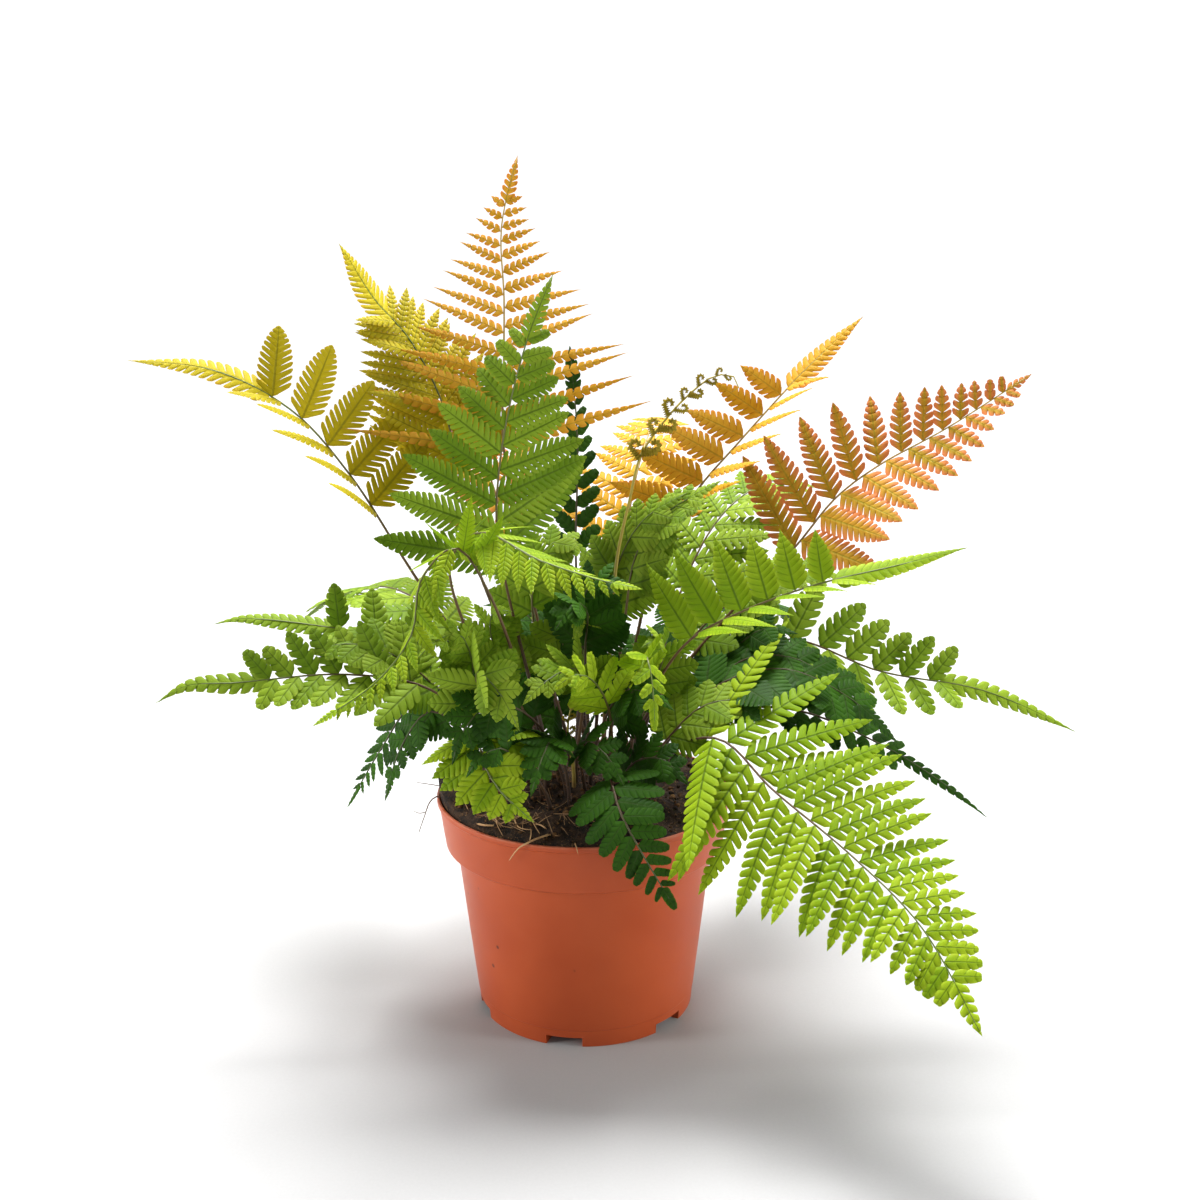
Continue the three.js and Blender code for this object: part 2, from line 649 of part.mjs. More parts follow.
function place(solid, owner) {
  placed.push({ solid, owner, box: solid.boundingBox() });
}

function boxesMeet(a, b) {
  return [0, 1, 2].every((k) => a.min[k] < b.max[k] && b.min[k] < a.max[k]);
}

// A leaflet that would touch another frond is turned about its rib, or made shorter
function fitLeaflet(spec, way, share, side, fullLength, width) {
  const base = spec.lift ?? 0;
  for (const cut of SHORTENING) {
    const length = fullLength * cut;
    for (const turn of TURNS) {
      const lift = base + turn;
      const plan = leafletPlan(way, share, side, spec.swing, lift, length, width);
      const body = leafletBody(plan, Math.min(TEST_START / length, 0.3));
      const box = body.boundingBox();
      const touches = placed.some((other) => other.owner !== spec.name
        && boxesMeet(other.box, box) && !body.intersect(other.solid).isEmpty());
      if (!touches) {
        place(body, spec.name);
        return { length, lift };
      }
    }
  }
  return { length: fullLength * STUB_SHARE, lift: base };
}

const group = new THREE.Group();

function addMesh(name, geometry, color, roughness) {
  const material = new THREE.MeshStandardMaterial({ color, roughness, metalness: 0 });
  const mesh = new THREE.Mesh(geometry, material);
  mesh.name = name;
  group.add(mesh);
}

// The pot: a tapered wall with a wider collar, a flat floor, and six notches round its foot,
// whose raised floors hold the drain holes
const rim = RIM_DIAMETER / 2;
const collarFoot = POT_HEIGHT - COLLAR_HEIGHT;
const outside = [
  [0, 0], [FOOT_RADIUS - 0.6, 0], [FOOT_RADIUS, 0.6], [BODY_TOP_RADIUS, collarFoot],
  [COLLAR_FOOT_RADIUS, collarFoot], [rim - 0.8, POT_HEIGHT - 2.6], [rim, POT_HEIGHT - 2.2],
  [rim, POT_HEIGHT], [0, POT_HEIGHT],
];
const hollow = [
  [0, FLOOR], [FOOT_RADIUS - WALL, FLOOR], [BODY_TOP_RADIUS - WALL, collarFoot + WALL],
  [COLLAR_FOOT_RADIUS - WALL, collarFoot + WALL], [rim - RIM_WALL, POT_HEIGHT],
  [rim - RIM_WALL, POT_HEIGHT + 1], [0, POT_HEIGHT + 1],
];

function footWedges(grow) {
  const inner = FOOT_RADIUS - NOTCH_DEPTH - grow;
  const outer = FOOT_RADIUS + 4;
  const wedges = [];
  for (let k = 0; k < NOTCHES; k++) {
    const middle = radians(NOTCH_TURN + 360 * k / NOTCHES - 90);
    const half = radians(NOTCH_SPAN / 2) + grow / FOOT_RADIUS;
    const corners = [-1, 0, 1].map((side) => {
      const angle = middle + side * half;
      const reach = outer / Math.cos(half * (1 - Math.abs(side)));
      return [Math.cos(angle) * reach, Math.sin(angle) * reach];
    });
    const inside = [1, -1].map((side) => {
      const angle = middle + side * half;
      return [Math.cos(angle) * inner, Math.sin(angle) * inner];
    });
    const shape = new THREE.Shape([...corners, ...inside].map(([x, y]) => new THREE.Vector2(x, y)));
    const wedge = new THREE.ExtrudeGeometry(shape, {
      depth: NOTCH_HEIGHT + grow + 1, bevelEnabled: false,
    });
    wedges.push(solidOf(wedge.translate(0, 0, -1)));
  }
  return wedges;
}

function drainHoles() {
  return Array.from({ length: NOTCHES }, (_, k) => {
    const angle = radians(NOTCH_TURN + 360 * k / NOTCHES - 90);
    const reach = FOOT_RADIUS - NOTCH_DEPTH / 2 - 0.6;
    const hole = new THREE.CylinderGeometry(DRAIN_RADIUS, DRAIN_RADIUS, 12, 10);
    hole.rotateX(Math.PI / 2);
    hole.translate(Math.cos(angle) * reach, Math.sin(angle) * reach, NOTCH_HEIGHT);
    return solidOf(hole);
  });
}

const subtractAll = (solid, tools) => tools.reduce((rest, tool) => rest.subtract(tool), solid);
const cavity = subtractAll(solidOf(lathe(hollow, POT_SIDES)), footWedges(FLOOR));
const pot = subtractAll(
  solidOf(lathe(outside, POT_SIDES)).subtract(cavity), [...footWedges(0), ...drainHoles()],
);
addMesh('pot', geometryOf(pot), 0xc4683f, 0.45);

// The root ball fills the pot and stands a little proud of the rim, highest behind and at the left,
// where it bulges over the rim
const bed = POT_HEIGHT - 1.5;
const bulge = (x, y) => BULGE_HEIGHT * Math.exp(-Math.pow((x + 54) / 16, 2) - Math.pow((y - 5) / 22, 2));
const soilProfile = [
  [0, FLOOR + GAP], [FOOT_RADIUS - WALL - GAP, FLOOR + GAP],
  [BODY_TOP_RADIUS - WALL - GAP, collarFoot + WALL + GAP],
  [COLLAR_FOOT_RADIUS - WALL - GAP, collarFoot + WALL + GAP], [rim - RIM_WALL - GAP - 0.3, bed],
  [56.8, bed + 2.2], [50, bed + 4.4], [34, bed + 6.8], [15, bed + 8.4], [0, bed + 9],
];
const soilSkin = lathe(soilProfile, SOIL_SIDES);
const soilPoints = soilSkin.attributes.position;
for (let k = 0; k < soilPoints.count; k++) {
  const x = soilPoints.getX(k);
  const y = soilPoints.getY(k);
  const z = soilPoints.getZ(k);
  if (z > bed + 1) {
    const proud = 0.35 * (y - x) / rim + 0.25 * Math.sin(0.21 * x + 1) * Math.sin(0.19 * y);
    soilPoints.setZ(k, z + (z - bed) * proud + bulge(x, y));
  }
}

// Each stalk stands in a plain hole that follows it down into the soil
function stalkHole(spec) {
  const way = new Way(spec.way, spec.face);
  const radius = STALK_RADIUS + GAP + 0.2;
  const shares = stalkShares(way, spec.blade).slice(0, 2);
  const rings = shares.map((share) => roundRing(way, share, radius, HOLE_SIDES));
  const below = way.frame(0).along.multiplyScalar(-0.6);
  rings.unshift(rings[0].map((point) => point.clone().add(below)));
  return solidOf(skin(rings));
}

const soil = subtractAll(
  subtractAll(solidOf(soilSkin), footWedges(FLOOR + GAP)), [...fronds, ...croziers].map(stalkHole),
);
addMesh('soil', geometryOf(soil), 0x2e2018, 0.95);

fronds.forEach((spec) => {
  const way = new Way(spec.way, spec.face);
  const steps = Math.round(way.length / 8);
  for (let k = 0; k < steps; k++) {
    const shares = [k / steps, (k + 1) / steps];
    const rings = shares.map((share) => {
      return roundRing(way, share, stalkRadius(share, spec.blade) + TEST_MARGIN, 4);
    });
    place(solidOf(skin(rings)), spec.name);
  }
});

fronds.forEach((spec) => {
  addMesh(spec.name, frondGeometry(spec), spec.colour, 0.6);
});

// A leaflet still rolled up: an arm that leaves the midrib and winds into a coil
function addCoil(frond, side, near, far, way, share, size) {
  const { at, along, above, right } = way.frame(share);
  const section = (s) => {
    const angle = COIL_TURN * Math.max(s - COIL_ARM, 0) / (1 - COIL_ARM);
    const radius = size * (1 - 0.55 * angle / COIL_TURN);
    const out = size * 2.6 * Math.min(s / COIL_ARM, 1) + radius * Math.sin(angle);
    const onward = size - radius * Math.cos(angle);
    const centre = at.clone().addScaledVector(right, side * out).addScaledVector(along, onward);
    const forward = along.clone().multiplyScalar(Math.cos(angle))
      .addScaledVector(right, -side * Math.sin(angle));
    return { centre, forward };
  };
  const ridgeAt = (s) => frond.ridge(section(s).centre, above, COIL_THICKNESS);
  const edgeAt = (s, flank) => {
    const { centre, forward } = section(s);
    return frond.edge(centre.addScaledVector(forward, flank * COIL_THICKNESS));
  };
  let last = { ridge: ridgeAt(COIL_ARM / 3), near: near.edge, far: far.edge };
  frond.face(side, near.ridge, last.ridge, far.ridge);
  frond.face(side, near.ridge, near.edge, last.ridge);
  frond.face(side, far.ridge, last.ridge, far.edge);
  for (let k = 1; k <= COIL_STEPS; k++) {
    const s = COIL_ARM + (1 - COIL_ARM) * (k - 1) / COIL_STEPS;
    const next = { ridge: ridgeAt(s), near: edgeAt(s, -1), far: edgeAt(s, 1) };
    frond.face(side, last.ridge, last.near, next.near);
    frond.face(side, last.ridge, next.near, next.ridge);
    frond.face(side, last.ridge, next.far, last.far);
    frond.face(side, last.ridge, next.ridge, next.far);
    last = next;
  }
  const apex = frond.edge(section(1).centre);
  frond.face(side, last.ridge, last.near, apex);
  frond.face(side, last.ridge, apex, last.far);
}

function crozierGeometry({ way: route, coils, blade, face }) {
  const way = new Way(route, face);
  const frond = new FrondSkin();
  const shares = stalkShares(way, blade);
  const stalkSteps = shares.length;
  for (let k = 0; k < coils; k++) {
    const middle = blade + (COILS_END - blade) * (k + 0.5) / coils;
    shares.push(middle - COIL_ROOT / way.length, middle + COIL_ROOT / way.length);
  }
  for (let k = 1; k < CROOK_STEPS; k++) {
    shares.push(COILS_END + (1 - COILS_END) * k / CROOK_STEPS);
  }
  const stations = shares.map((share) => {
    const { at, above, right } = way.frame(share);
    const radius = THREE.MathUtils.lerp(STALK_RADIUS, 0.7, share);
    return {
      share,
      ridge: frond.ridge(at, above, radius),
      left: frond.edge(at.clone().addScaledVector(right, -radius)),
      right: frond.edge(at.clone().addScaledVector(right, radius)),
    };
  });
  frond.closeFoot(stations[0]);
  stations.slice(1).forEach((next, k) => {
    const back = stations[k];
    const coil = k - stalkSteps;
    const holdsCoil = coil >= 0 && coil < 2 * coils && coil % 2 === 0;
    [-1, 1].forEach((side) => {
      const edge = side > 0 ? 'right' : 'left';
      if (holdsCoil) {
        const middle = (back.share + next.share) / 2;
        const size = THREE.MathUtils.lerp(COIL_SIZE, COIL_SIZE / 2, coil / (2 * coils));
        addCoil(
          frond, side, { ridge: back.ridge, edge: back[edge] },
          { ridge: next.ridge, edge: next[edge] }, way, middle, size,
        );
        return;
      }
      frond.face(side, back.ridge, back[edge], next[edge]);
      frond.face(side, back.ridge, next[edge], next.ridge);
    });
  });
  frond.closeTip(stations[stations.length - 1], frond.edge(way.curve.getPointAt(1)));
  return frond.geometry();
}

croziers.forEach((spec) => addMesh(spec.name, crozierGeometry(spec), 0x9a8a35, 0.6));

export default group;
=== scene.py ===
from math import cos, exp, hypot, pi, radians, sin, sqrt

import bmesh
import bpy
import numpy as np
from mathutils import Matrix, Vector, noise


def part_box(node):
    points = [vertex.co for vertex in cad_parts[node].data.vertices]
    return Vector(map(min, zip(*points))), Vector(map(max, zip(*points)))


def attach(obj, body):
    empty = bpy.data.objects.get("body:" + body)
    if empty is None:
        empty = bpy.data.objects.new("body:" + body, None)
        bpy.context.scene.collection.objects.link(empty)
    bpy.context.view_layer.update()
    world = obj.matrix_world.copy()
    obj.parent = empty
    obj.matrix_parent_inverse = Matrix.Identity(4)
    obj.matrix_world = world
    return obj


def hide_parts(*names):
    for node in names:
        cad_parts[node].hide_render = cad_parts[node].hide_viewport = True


# A young autumn fern in a 12 cm plastic pot. The frame gives the pot, the soil and every frond
# as plain solids, and each of them is replaced here by a finer piece in the same place.
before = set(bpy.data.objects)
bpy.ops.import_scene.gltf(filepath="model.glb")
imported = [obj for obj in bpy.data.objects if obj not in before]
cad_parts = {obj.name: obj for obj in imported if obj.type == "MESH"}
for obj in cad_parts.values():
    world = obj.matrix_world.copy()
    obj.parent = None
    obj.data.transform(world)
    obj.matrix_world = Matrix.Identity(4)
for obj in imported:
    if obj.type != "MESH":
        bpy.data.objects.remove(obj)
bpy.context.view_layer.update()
MM = 0.001


# Camera
# It stands in front of the pot, not quite as high as the tallest frond, and looks down a little.
# Its lens is given in pixels of a square picture 1200 pixels wide.
focal_pixels = 1508
picture_pixels = 1200
camera_height = 317 * MM
camera_distance = 578 * MM
camera_aside = 7 * MM
look_down = radians(14.2)
camera_roll = radians(-0.4)

camera_data = bpy.data.cameras.new("camera")
camera_data.sensor_fit = "HORIZONTAL"
camera_data.lens = camera_data.sensor_width * focal_pixels / picture_pixels
camera = bpy.data.objects.new("camera", camera_data)
camera.matrix_world = (
    Matrix.Translation((camera_aside, -camera_distance, camera_height))
    @ Matrix.Rotation(pi / 2 - look_down, 4, "X")
    @ Matrix.Rotation(camera_roll, 4, "Z")
)
bpy.context.scene.collection.objects.link(camera)
bpy.context.scene.camera = camera
bpy.context.scene.view_settings.view_transform = "Standard"


# Shader nodes
# One class writes every material: sums on its sockets add Math nodes, node() adds any other,
# and the methods below it add those that several materials have.
class Shade:
    """A socket in a material's node tree."""

    def __init__(self, tree, socket=None):
        self.tree = tree
        self.socket = socket

    def node(self, kind, settings=None, inputs=None, output=0):
        """Adds a node, sets it up, feeds its sockets with values or links, and gives an output."""
        added = self.tree.nodes.new("ShaderNode" + kind)
        for setting, value in (settings or {}).items():
            setattr(added, setting, value)
        for socket, value in (inputs or {}).items():
            if isinstance(value, Shade):
                self.tree.links.new(value.socket, added.inputs[socket])
            else:
                added.inputs[socket].default_value = value
        return Shade(self.tree, added.outputs[output] if added.outputs else None)

    def math(self, operation, first, second=0.0):
        return self.node("Math", {"operation": operation}, {0: first, 1: second})

    def __add__(self, other):
        return self.math("ADD", self, other)

    def __sub__(self, other):
        return self.math("SUBTRACT", self, other)

    def __rsub__(self, other):
        return self.math("SUBTRACT", other, self)

    def __mul__(self, other):
        return self.math("MULTIPLY", self, other)

    __radd__ = __add__
    __rmul__ = __mul__

    def rise(self, low, high):
        """0 below low, 1 above high, and smooth between them."""
        return self.node("MapRange", {"interpolation_type": "SMOOTHSTEP"}, {0: self, 1: low, 2: high})

    def blend(self, first, second):
        """The first colour where this value is 0, and the second where it is 1."""
        return self.node("Mix", {"data_type": "RGBA"}, {0: self, 6: first, 7: second}, output=2)

    def noise(self, scale, detail, distortion=0.0):
        """Cloudy noise over this place, from 0 to 1."""
        return self.node("TexNoise", inputs={
            "Vector": self, "Scale": scale, "Detail": detail, "Distortion": distortion,
        })

    def relief(self, strength, depth):
        """This value as the height of a relief, for the Normal of a surface."""
        return self.node("Bump", inputs={"Height": self, "Strength": strength, "Distance": depth})

    def note(self, name):
        """A value that the mesh holds at each of its points."""
        return self.node("Attribute", {"attribute_name": name}, output="Fac")

    def skin(self, colour, roughness, specular=0.5, more=None):
        return self.node("BsdfPrincipled", inputs={
            "Base Color": colour, "Roughness": roughness, "Specular IOR Level": specular,
            **(more or {}),
        })

    def finish(self):
        """Makes this skin the one that the material shows."""
        self.node("OutputMaterial", inputs={"Surface": self})


def new_material(name):
    """An empty material, and the place on the object, from which its nodes start."""
    material = bpy.data.materials.new(name)
    material.use_nodes = True
    material.node_tree.nodes.clear()
    return material, Shade(material.node_tree).node("TexCoord", output="Object")


def rgb(*parts):
    """The linear colour of a screen colour given from 0 to 255."""
    parts = [part / 255 for part in parts]
    return [p / 12.92 if p < 0.04 else ((p + 0.055) / 1.055) ** 2.4 for p in parts] + [1]


# Floor and backdrop
# A pale paper sweep that rises in a wide round bowl, so that it has no edge from any side. It
# glows white away from the pot, more so behind it.
sweep_radius = 4.5
sweep_height = 3.6
sweep_bend = 1.6
sweep_middle = 0.8
sweep_bend_steps = 12
sweep_sides = 64
front_glow = 0.3


def spun(outline, steps):
    """A body turned from an outline of (radius, height) points."""
    body = bmesh.new()
    points = [body.verts.new((radius, 0, height)) for radius, height in outline]
    edges = [body.edges.new(pair) for pair in zip(points, points[1:])]
    bmesh.ops.spin(
        body, geom=points + edges, axis=(0, 0, 1), cent=(0, 0, 0), angle=2 * pi, steps=steps,
        use_merge=True,
    )
    bmesh.ops.remove_doubles(body, verts=body.verts, dist=1e-6)
    bmesh.ops.recalc_face_normals(body, faces=body.faces)
    return body


def mesh_of(body, name, smooth=True):
    """The mesh of a finished body."""
    for face in body.faces:
        face.smooth = smooth
    mesh = bpy.data.meshes.new(name)
    body.to_mesh(mesh)
    body.free()
    return mesh


def link_piece(name, mesh, materials):
    piece = bpy.data.objects.new(name, mesh)
    bpy.context.scene.collection.objects.link(piece)
    for material in materials:
        mesh.materials.append(material)
    return piece


sweep_outline = [(0, 0), (sweep_middle, 0)]
for step in range(sweep_bend_steps + 1):
    turn = pi / 2 * step / sweep_bend_steps
    reach = sweep_radius - sweep_bend + sweep_bend * sin(turn)
    sweep_outline.append((reach, sweep_bend * (1 - cos(turn))))
sweep_outline.append((sweep_radius, sweep_height))

paper, place = new_material("pale_paper")
away = place.node("VectorMath", {"operation": "LENGTH"}, {0: place}, output="Value")
back = place.node("SeparateXYZ", inputs={0: place}, output=1)
glow = away.rise(0.25, 1.5) * (front_glow + back.rise(-1.0, 0.6) * (1 - front_glow))
tone = place.noise(900, 2).blend((0.41, 0.41, 0.41, 1), (0.44, 0.44, 0.44, 1))
place.skin(tone, 0.9, 0.1, {
    "Emission Color": glow.blend(rgb(0, 0, 0), rgb(255, 255, 255)), "Emission Strength": 0.85,
}).finish()
sweep = link_piece("sweep", mesh_of(spun(sweep_outline, sweep_sides), "sweep"), [paper])


# Lights
# Two upright soft boxes stand at the sides, a wide one hangs above, and the room is pale.
light_aim = Vector((0, 0, 0.15))
room_light = 0.10


def soft_box(name, place, size, power):
    lamp_data = bpy.data.lights.new(name, "AREA")
    lamp_data.shape = "RECTANGLE"
    lamp_data.size, lamp_data.size_y = size
    lamp_data.energy = power
    lamp = bpy.data.objects.new(name, lamp_data)
    look = (light_aim - Vector(place)).to_track_quat("-Z", "Y")
    lamp.matrix_world = Matrix.Translation(place) @ look.to_matrix().to_4x4()
    bpy.context.scene.collection.objects.link(lamp)


soft_box("left_light", (-0.98, -0.26, 0.30), (0.22, 0.6), 7.8)
soft_box("right_light", (0.95, -0.32, 0.30), (0.22, 0.6), 6.9)
soft_box("top_light", (0.0, 0.42, 1.20), (0.6, 0.5), 41)

world = bpy.data.worlds.new("room")
world.use_nodes = True
sky = world.node_tree.nodes["Background"].inputs
sky["Color"].default_value = (1, 1, 1, 1)
sky["Strength"].default_value = room_light
bpy.context.scene.world = world


# Pot
# A thin injection-moulded pot of brick-red plastic: a tapered wall, a wider collar with a small
# lip, and a foot with six notches for the water, each with a drain hole in its raised floor.
_, pot_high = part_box("pot")
rim_radius = pot_high.x
pot_height = pot_high.z
foot_radius = 44.2 * MM
wall_top_radius = 52.4 * MM
collar_foot_radius = 56.7 * MM
collar_foot = 70.9 * MM
collar_round = 0.6 * MM
wall = 1.1 * MM
foot_band = 7.4 * MM
band_step = (0.25 * MM, 0.3 * MM)
lip_foot = 2.7 * MM
lip_height = 2.0 * MM
lip_depth = 0.8 * MM
pot_sides = 160
sharp_corner = radians(24)
corner_round = 0.4 * MM
crease_angle = radians(38)
floor_top = 5.4 * MM
notches = 6
notch_turn = radians(-101)
notch_half_span = radians(9.5)
notch_height = 4 * MM
notch_depth = 9 * MM
notch_past_wall = 4 * MM
drain_radius = 3.2 * MM
drain_cut = 12 * MM
drain_sides = 24
drain_reach = foot_radius - notch_depth / 2 - 0.6 * MM

taper = (wall_top_radius - foot_radius) / (collar_foot - collar_round)
band_radius = foot_radius + taper * foot_band
pot_body = spun([
    (0, 0),
    (foot_radius, 0),
    (band_radius - band_step[0], foot_band - band_step[1]),
    (band_radius, foot_band),
    (wall_top_radius, collar_foot),
    (collar_foot_radius - collar_round, collar_foot),
    (collar_foot_radius, collar_foot + collar_round),
    (rim_radius - lip_depth, pot_height - lip_foot),
    (rim_radius, pot_height - lip_height),
    (rim_radius, pot_height),
    (rim_radius - wall, pot_height),
    (collar_foot_radius - wall, collar_foot + wall),
    (wall_top_radius - wall, collar_foot + wall),
    (foot_radius - wall + taper * floor_top, floor_top),
    (0, floor_top),
], pot_sides)
corners = [
    edge for edge in pot_body.edges
    if len(edge.link_faces) == 2 and edge.calc_face_angle() > sharp_corner
]
bmesh.ops.bevel(
    pot_body, geom=corners, offset=corner_round, offset_type="OFFSET", affect="EDGES", segments=3,
    profile=0.5, material=-1, clamp_overlap=True,
)

cutters = bmesh.new()
for k in range(notches):
    turn = notch_turn + 2 * pi * k / notches
    left, right = turn - notch_half_span, turn + notch_half_span
    inner, outer = foot_radius - notch_depth, foot_radius + notch_past_wall
    ring = [(inner, left), (outer, left), (outer / cos(notch_half_span), turn), (outer, right),
            (inner, right)]
    base = cutters.faces.new([
        cutters.verts.new((reach * cos(angle), reach * sin(angle), -MM)) for reach, angle in ring
    ])
    raised = bmesh.ops.extrude_face_region(cutters, geom=[base])["geom"]
    tops = [part for part in raised if isinstance(part, bmesh.types.BMVert)]
    bmesh.ops.translate(cutters, verts=tops, vec=(0, 0, notch_height + MM))
    hole = bmesh.ops.create_cone(
        cutters, cap_ends=True, segments=drain_sides, radius1=drain_radius, radius2=drain_radius,
        depth=drain_cut,
    )["verts"]
    spot = (drain_reach * cos(turn), drain_reach * sin(turn), notch_height)
    bmesh.ops.translate(cutters, verts=hole, vec=spot)
bmesh.ops.recalc_face_normals(cutters, faces=cutters.faces)
cutter = link_piece("foot_cutters", mesh_of(cutters, "foot_cutters", smooth=False), [])

plastic, place = new_material("pot_plastic")
height = place.node("SeparateXYZ", inputs={0: place}, output=2)
cloud = place.noise(28, 3)
rub = place.noise(160, 5)
speckle = place.node("TexVoronoi", {"feature": "F1"}, {"Vector": place, "Scale": 95.0})
dirt = (1 - speckle.rise(0.05, 0.11)) * place.noise(40, 1).rise(0.55, 0.62)
worn = height.rise(pot_height - 1.2 * MM, pot_height) * rub.rise(0.35, 0.6)
tone = cloud.rise(0.3, 0.7).blend(rgb(168, 71, 34), rgb(177, 79, 40))
tone = worn.blend(tone, rgb(176, 96, 66))
tone = dirt.blend(tone, rgb(92, 42, 28))
relief = (place.noise(1400, 2) + rub * 0.5).relief(0.25, 0.06 * MM)
place.skin(tone, 0.36 + 0.12 * cloud, 0.25, {"Normal": relief}).finish()

pot = link_piece("plastic_pot", mesh_of(pot_body, "plastic_pot"), [plastic])
cut = pot.modifiers.new("foot_notches", "BOOLEAN")
cut.operation = "DIFFERENCE"
cut.object = cutter
cut.solver = "EXACT"
cut.use_self = True
bpy.context.view_layer.update()
cut_pot = bpy.data.meshes.new_from_object(
    pot.evaluated_get(bpy.context.evaluated_depsgraph_get())
)
pot.modifiers.clear()
pot.data = cut_pot
pot.data.set_sharp_from_angle(angle=crease_angle)
bpy.data.objects.remove(cutter)
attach(pot, "root")
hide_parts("pot")


# Potting soil
# Dark peat that fills the pot and stands proud of its rim, highest behind and at the left, where
# it bulges. Its top is rough with fibres, and the rest is hidden by the pot.
soil_bed = pot_height - 1.5 * MM
soil_gap = 0.8 * MM
soil_inset = wall + soil_gap
soil_floor = floor_top + soil_gap
soil_sides = 120
soil_top = [(58.0, 0.0), (57.4, 1.2), (56.6, 2.2), (53.5, 3.4), (50.0, 4.4), (46.0, 5.1),
            (40.0, 6.0), (34.0, 6.8), (28.0, 7.4), (22.0, 8.0), (15.0, 8.4), (8.0, 8.8),
            (0.0, 9.0)]
shoulder_rise = 2.2
slope = 0.35 / 60
wave_share = 0.25
wave_rates = (0.21, 0.19)
bulge_middle = (-54, 5)
bulge_spread = (16, 22)
bulge_height = 6.0
bulge_overhang = 4.0
bulge_margin = 14 * MM
calm_edge = 2 * MM
calm_margin = 6 * MM
lump_size = 7 * MM
lump_height = 1.5 * MM


def bulge(across, back):
    """How much of the bulge at the left a place has, from 0 to 1."""
    aside = (across - bulge_middle[0]) / bulge_spread[0]
    beyond = (back - bulge_middle[1]) / bulge_spread[1]
    return exp(-aside ** 2 - beyond ** 2)


def soil_rise(x, y, rise):
    """How high a point of the soil's top stands above the bed."""
    across, back = x / MM, y / MM
    waves = sin(wave_rates[0] * across + 1) * sin(wave_rates[1] * back)
    raised = rise * (1 + slope * (back - across) + wave_share * waves)
    return raised + bulge_height * bulge(across, back) * min(rise / shoulder_rise, 1)


def soil_height(x, y):
    """The height of the soil under a place."""
    radii, rises = zip(*reversed(soil_top))
    return soil_bed + soil_rise(x, y, float(np.interp(hypot(x, y) / MM, radii, rises))) * MM


soil_outline = [(0, soil_floor), (foot_radius - soil_inset, soil_floor),
                (wall_top_radius - soil_inset, collar_foot + soil_inset),
                (collar_foot_radius - soil_inset, collar_foot + soil_inset)]
soil_outline += [(radius * MM, soil_bed + rise * MM) for radius, rise in soil_top]
soil_body = spun(soil_outline, soil_sides)
upper = [edge for edge in soil_body.edges if min(v.co.z for v in edge.verts) > soil_bed - 1e-6]
bmesh.ops.subdivide_edges(soil_body, edges=upper, cuts=1, use_grid_fill=True)
for vert in soil_body.verts:
    if vert.co.z > soil_bed - 1e-6:
        x, y, z = vert.co
        to_rim = rim_radius - hypot(x, y)
        rise = (z - soil_bed) / MM
        over = min(rise / shoulder_rise, 1) * max(0, 1 - to_rim / bulge_margin)
        swell = 1 + over * bulge(x / MM, y / MM) * bulge_overhang * MM / rim_radius
        lumps = noise.fractal(vert.co / lump_size, 0.6, 2.2, 5) * lump_height
        lumps *= np.clip((to_rim - calm_edge) / calm_margin, 0, 1)
        vert.co = (x * swell, y * swell, soil_bed + soil_rise(x, y, rise) * MM + lumps)

peat, place = new_material("potting_soil")
coarse = place.noise(260, 6)
fine = place.noise(1300, 6)
fibre = place.noise(420, 4, 2.5)
tone = coarse.rise(0.35, 0.65).blend(rgb(24, 17, 12), rgb(62, 44, 30))
tone = fibre.rise(0.60, 0.72).blend(tone, rgb(126, 94, 58))
relief = (coarse + fine * 0.6 + fibre * 0.5).relief(0.9, 1.2 * MM)
place.skin(tone, 0.78 + 0.2 * fine, 0.25, {"Normal": relief}).finish()
soil = link_piece("potting_soil", mesh_of(soil_body, "potting_soil"), [peat])
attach(soil, "root")
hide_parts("soil")


# Peat crumbs
# Loose crumbs of peat and bark that lie on the soil, a few of them brown and fibrous.
crumb_count = 900
crumb_size = (0.5 * MM, 1.7 * MM)
crumb_spread = (0.5, 1.2)
crumb_lift = 0.2
crumb_field = rim_radius - 4 * MM
draw = np.random.default_rng(7)

crumb_seed = bmesh.new()
bmesh.ops.create_icosphere(crumb_seed, subdivisions=1, radius=1)
crumb_shape = mesh_of(crumb_seed, "crumb_shape", smooth=False)

crumb_body = bmesh.new()
for _ in range(crumb_count):
    first = len(crumb_body.verts)
    crumb_body.from_mesh(crumb_shape)
    crumb_body.verts.ensure_lookup_table()
    size = crumb_size[0] + (crumb_size[1] - crumb_size[0]) * draw.random() ** 3
    turn = 2 * pi * draw.random()
    reach = crumb_field * sqrt(draw.random())
    x, y = reach * cos(turn), reach * sin(turn)
    spread = Matrix.Diagonal((*(size * draw.uniform(*crumb_spread, 3)), 1))
    tumble = Matrix.Rotation(draw.uniform(0, 6), 4, draw.normal(size=3))
    lie = Matrix.Translation((x, y, soil_height(x, y) + size * crumb_lift))
    bmesh.ops.transform(crumb_body, matrix=lie @ tumble @ spread, verts=crumb_body.verts[first:])

crumb_stuff, place = new_material("peat_crumbs")
tone = place.noise(330, 2).rise(0.42, 0.62).blend(rgb(34, 24, 17), rgb(104, 74, 44))
relief = place.noise(1700, 4).relief(0.8, 0.4 * MM)
place.skin(tone, 0.9, 0.2, {"Normal": relief}).finish()
crumbs = link_piece("peat_crumbs", mesh_of(crumb_body, "peat_crumbs", smooth=False), [crumb_stuff])
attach(crumbs, "root")


